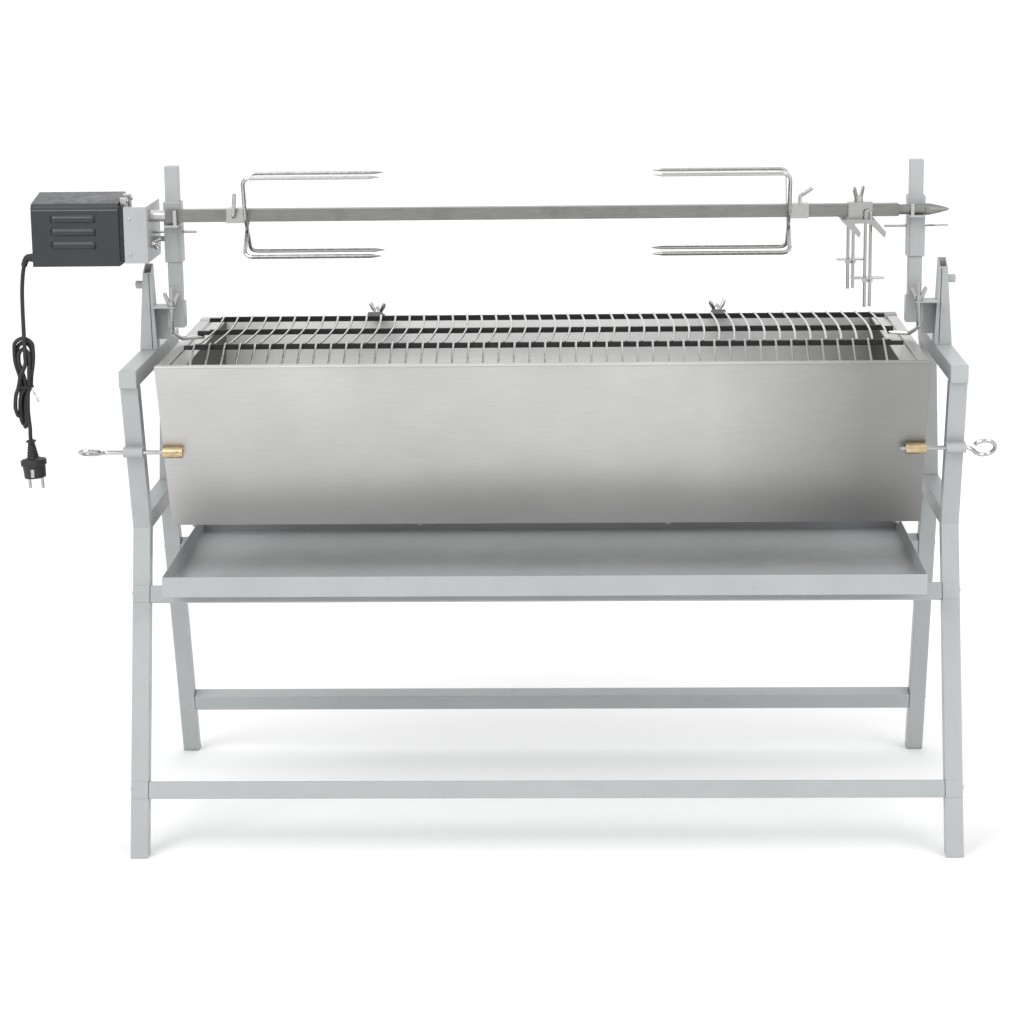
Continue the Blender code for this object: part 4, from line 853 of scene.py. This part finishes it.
def build_upright_details():
    """The folded seam of each upright and the weld down each sleeve."""
    for side, sign in SIDES:
        bm = bmesh.new()
        foot = Vector((STAND_X + sign * 0.5810, -0.0127, 0.704))
        top = Vector((STAND_X + sign * 0.5830, -0.0127, 0.815))
        sweep(bm, [foot, top], [0.00045, 0.00045], 8)
        add_piece(f"upright_seam_{side}", bm, "motor_black", "frame", 60)
        bm = bmesh.new()
        x = STAND_X + sign * 0.5360
        sweep(bm, [(x, -0.0132, 0.8325), (x, -0.0132, 0.886)], [0.0012, 0.0012], 10)
        add_piece(f"sleeve_weld_{side}", bm, "frame_paint", f"{side}_carriage", 60)


def build_windings():
    """Copper coils on the stator, seen when the cover is off."""
    low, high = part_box("motor_stator")
    axis_y, axis_z = (low.y + high.y) / 2, 0.883
    steps = 24
    for i, x in enumerate((low.x - 0.0006, high.x + 0.0006)):
        points = []
        for step in range(steps + 1):
            angle = 2 * math.pi * step / steps
            points.append((x, axis_y + 0.0130 * math.cos(angle), axis_z + 0.0125 * math.sin(angle)))
        bm = bmesh.new()
        sweep(bm, points, [0.0022] * len(points), 10)
        add_piece(f"stator_coil_{i}", bm, "copper", "left_carriage", 60)


def set_view():
    """Plain display of the light, so that a white floor shows white."""
    bpy.context.scene.view_settings.view_transform = "Standard"
    bpy.context.scene.view_settings.look = "None"


def add_ground_and_light():
    """A pale floor that runs up into the backdrop, and soft studio light from above, left and right."""
    mesh = bpy.data.meshes.new("studio_floor")
    bm = bmesh.new()
    # The backdrop stands far enough off for a camera behind the object to stay in front of it.
    floor_end, radius, steps = 4.3, 1.5, 12
    profile = [(-8.0, 0.0), (floor_end, 0.0)]
    for i in range(1, steps + 1):
        angle = math.pi / 2 * i / steps
        profile.append((floor_end + radius * math.sin(angle), radius - radius * math.cos(angle)))
    profile.append((floor_end + radius, 7.0))
    rows = [[bm.verts.new((x, y, z - 0.0004)) for x in (-9, 9)] for y, z in profile]
    for first, second in zip(rows, rows[1:]):
        bm.faces.new((first[0], first[1], second[1], second[0]))
    bm.to_mesh(mesh)
    bm.free()
    mesh.shade_smooth()
    n = Nodes("studio_white")
    tone = n.blend(n.noise(0.6, 2), (0.90, 0.90, 0.90), (0.92, 0.92, 0.92))
    mesh.materials.append(n.finish(tone, Roughness=0.9))
    floor = bpy.data.objects.new("studio_floor", mesh)
    bpy.context.scene.collection.objects.link(floor)

    world = bpy.data.worlds.new("studio")
    world.use_nodes = True
    background = world.node_tree.nodes["Background"]
    background.inputs["Color"].default_value = (1.0, 1.0, 1.0, 1)
    background.inputs["Strength"].default_value = 0.95
    bpy.context.scene.world = world
    # Each lamp's name, place, target, size and power in watts.
    lamps = (
        ("key", (-2.6, -3.2, 3.6), (0, 0, 0.6), 2.6, 90),
        ("fill", (3.0, -2.6, 2.4), (0, 0, 0.6), 2.4, 45),
        ("top", (0.0, -0.6, 4.2), (0, 0, 0.5), 3.0, 14),
        ("back", (0.0, 3.4, 3.4), (0, 2.5, 0.0), 3.2, 30),
    )
    for name, place, target, size, power in lamps:
        data = bpy.data.lights.new(name, "AREA")
        data.size = size
        data.energy = power
        lamp = bpy.data.objects.new(name, data)
        lamp.location = place
        lamp.rotation_euler = (Vector(target) - Vector(place)).to_track_quat("-Z", "Y").to_euler()
        bpy.context.scene.collection.objects.link(lamp)


build_bar_screws()
build_shoulder_caps()
build_bar_saddles()
build_trough_hardware()
build_cover_details()
build_end_plate_details()
build_bracket_details()
build_upright_details()
build_windings()
set_view()
add_ground_and_light()
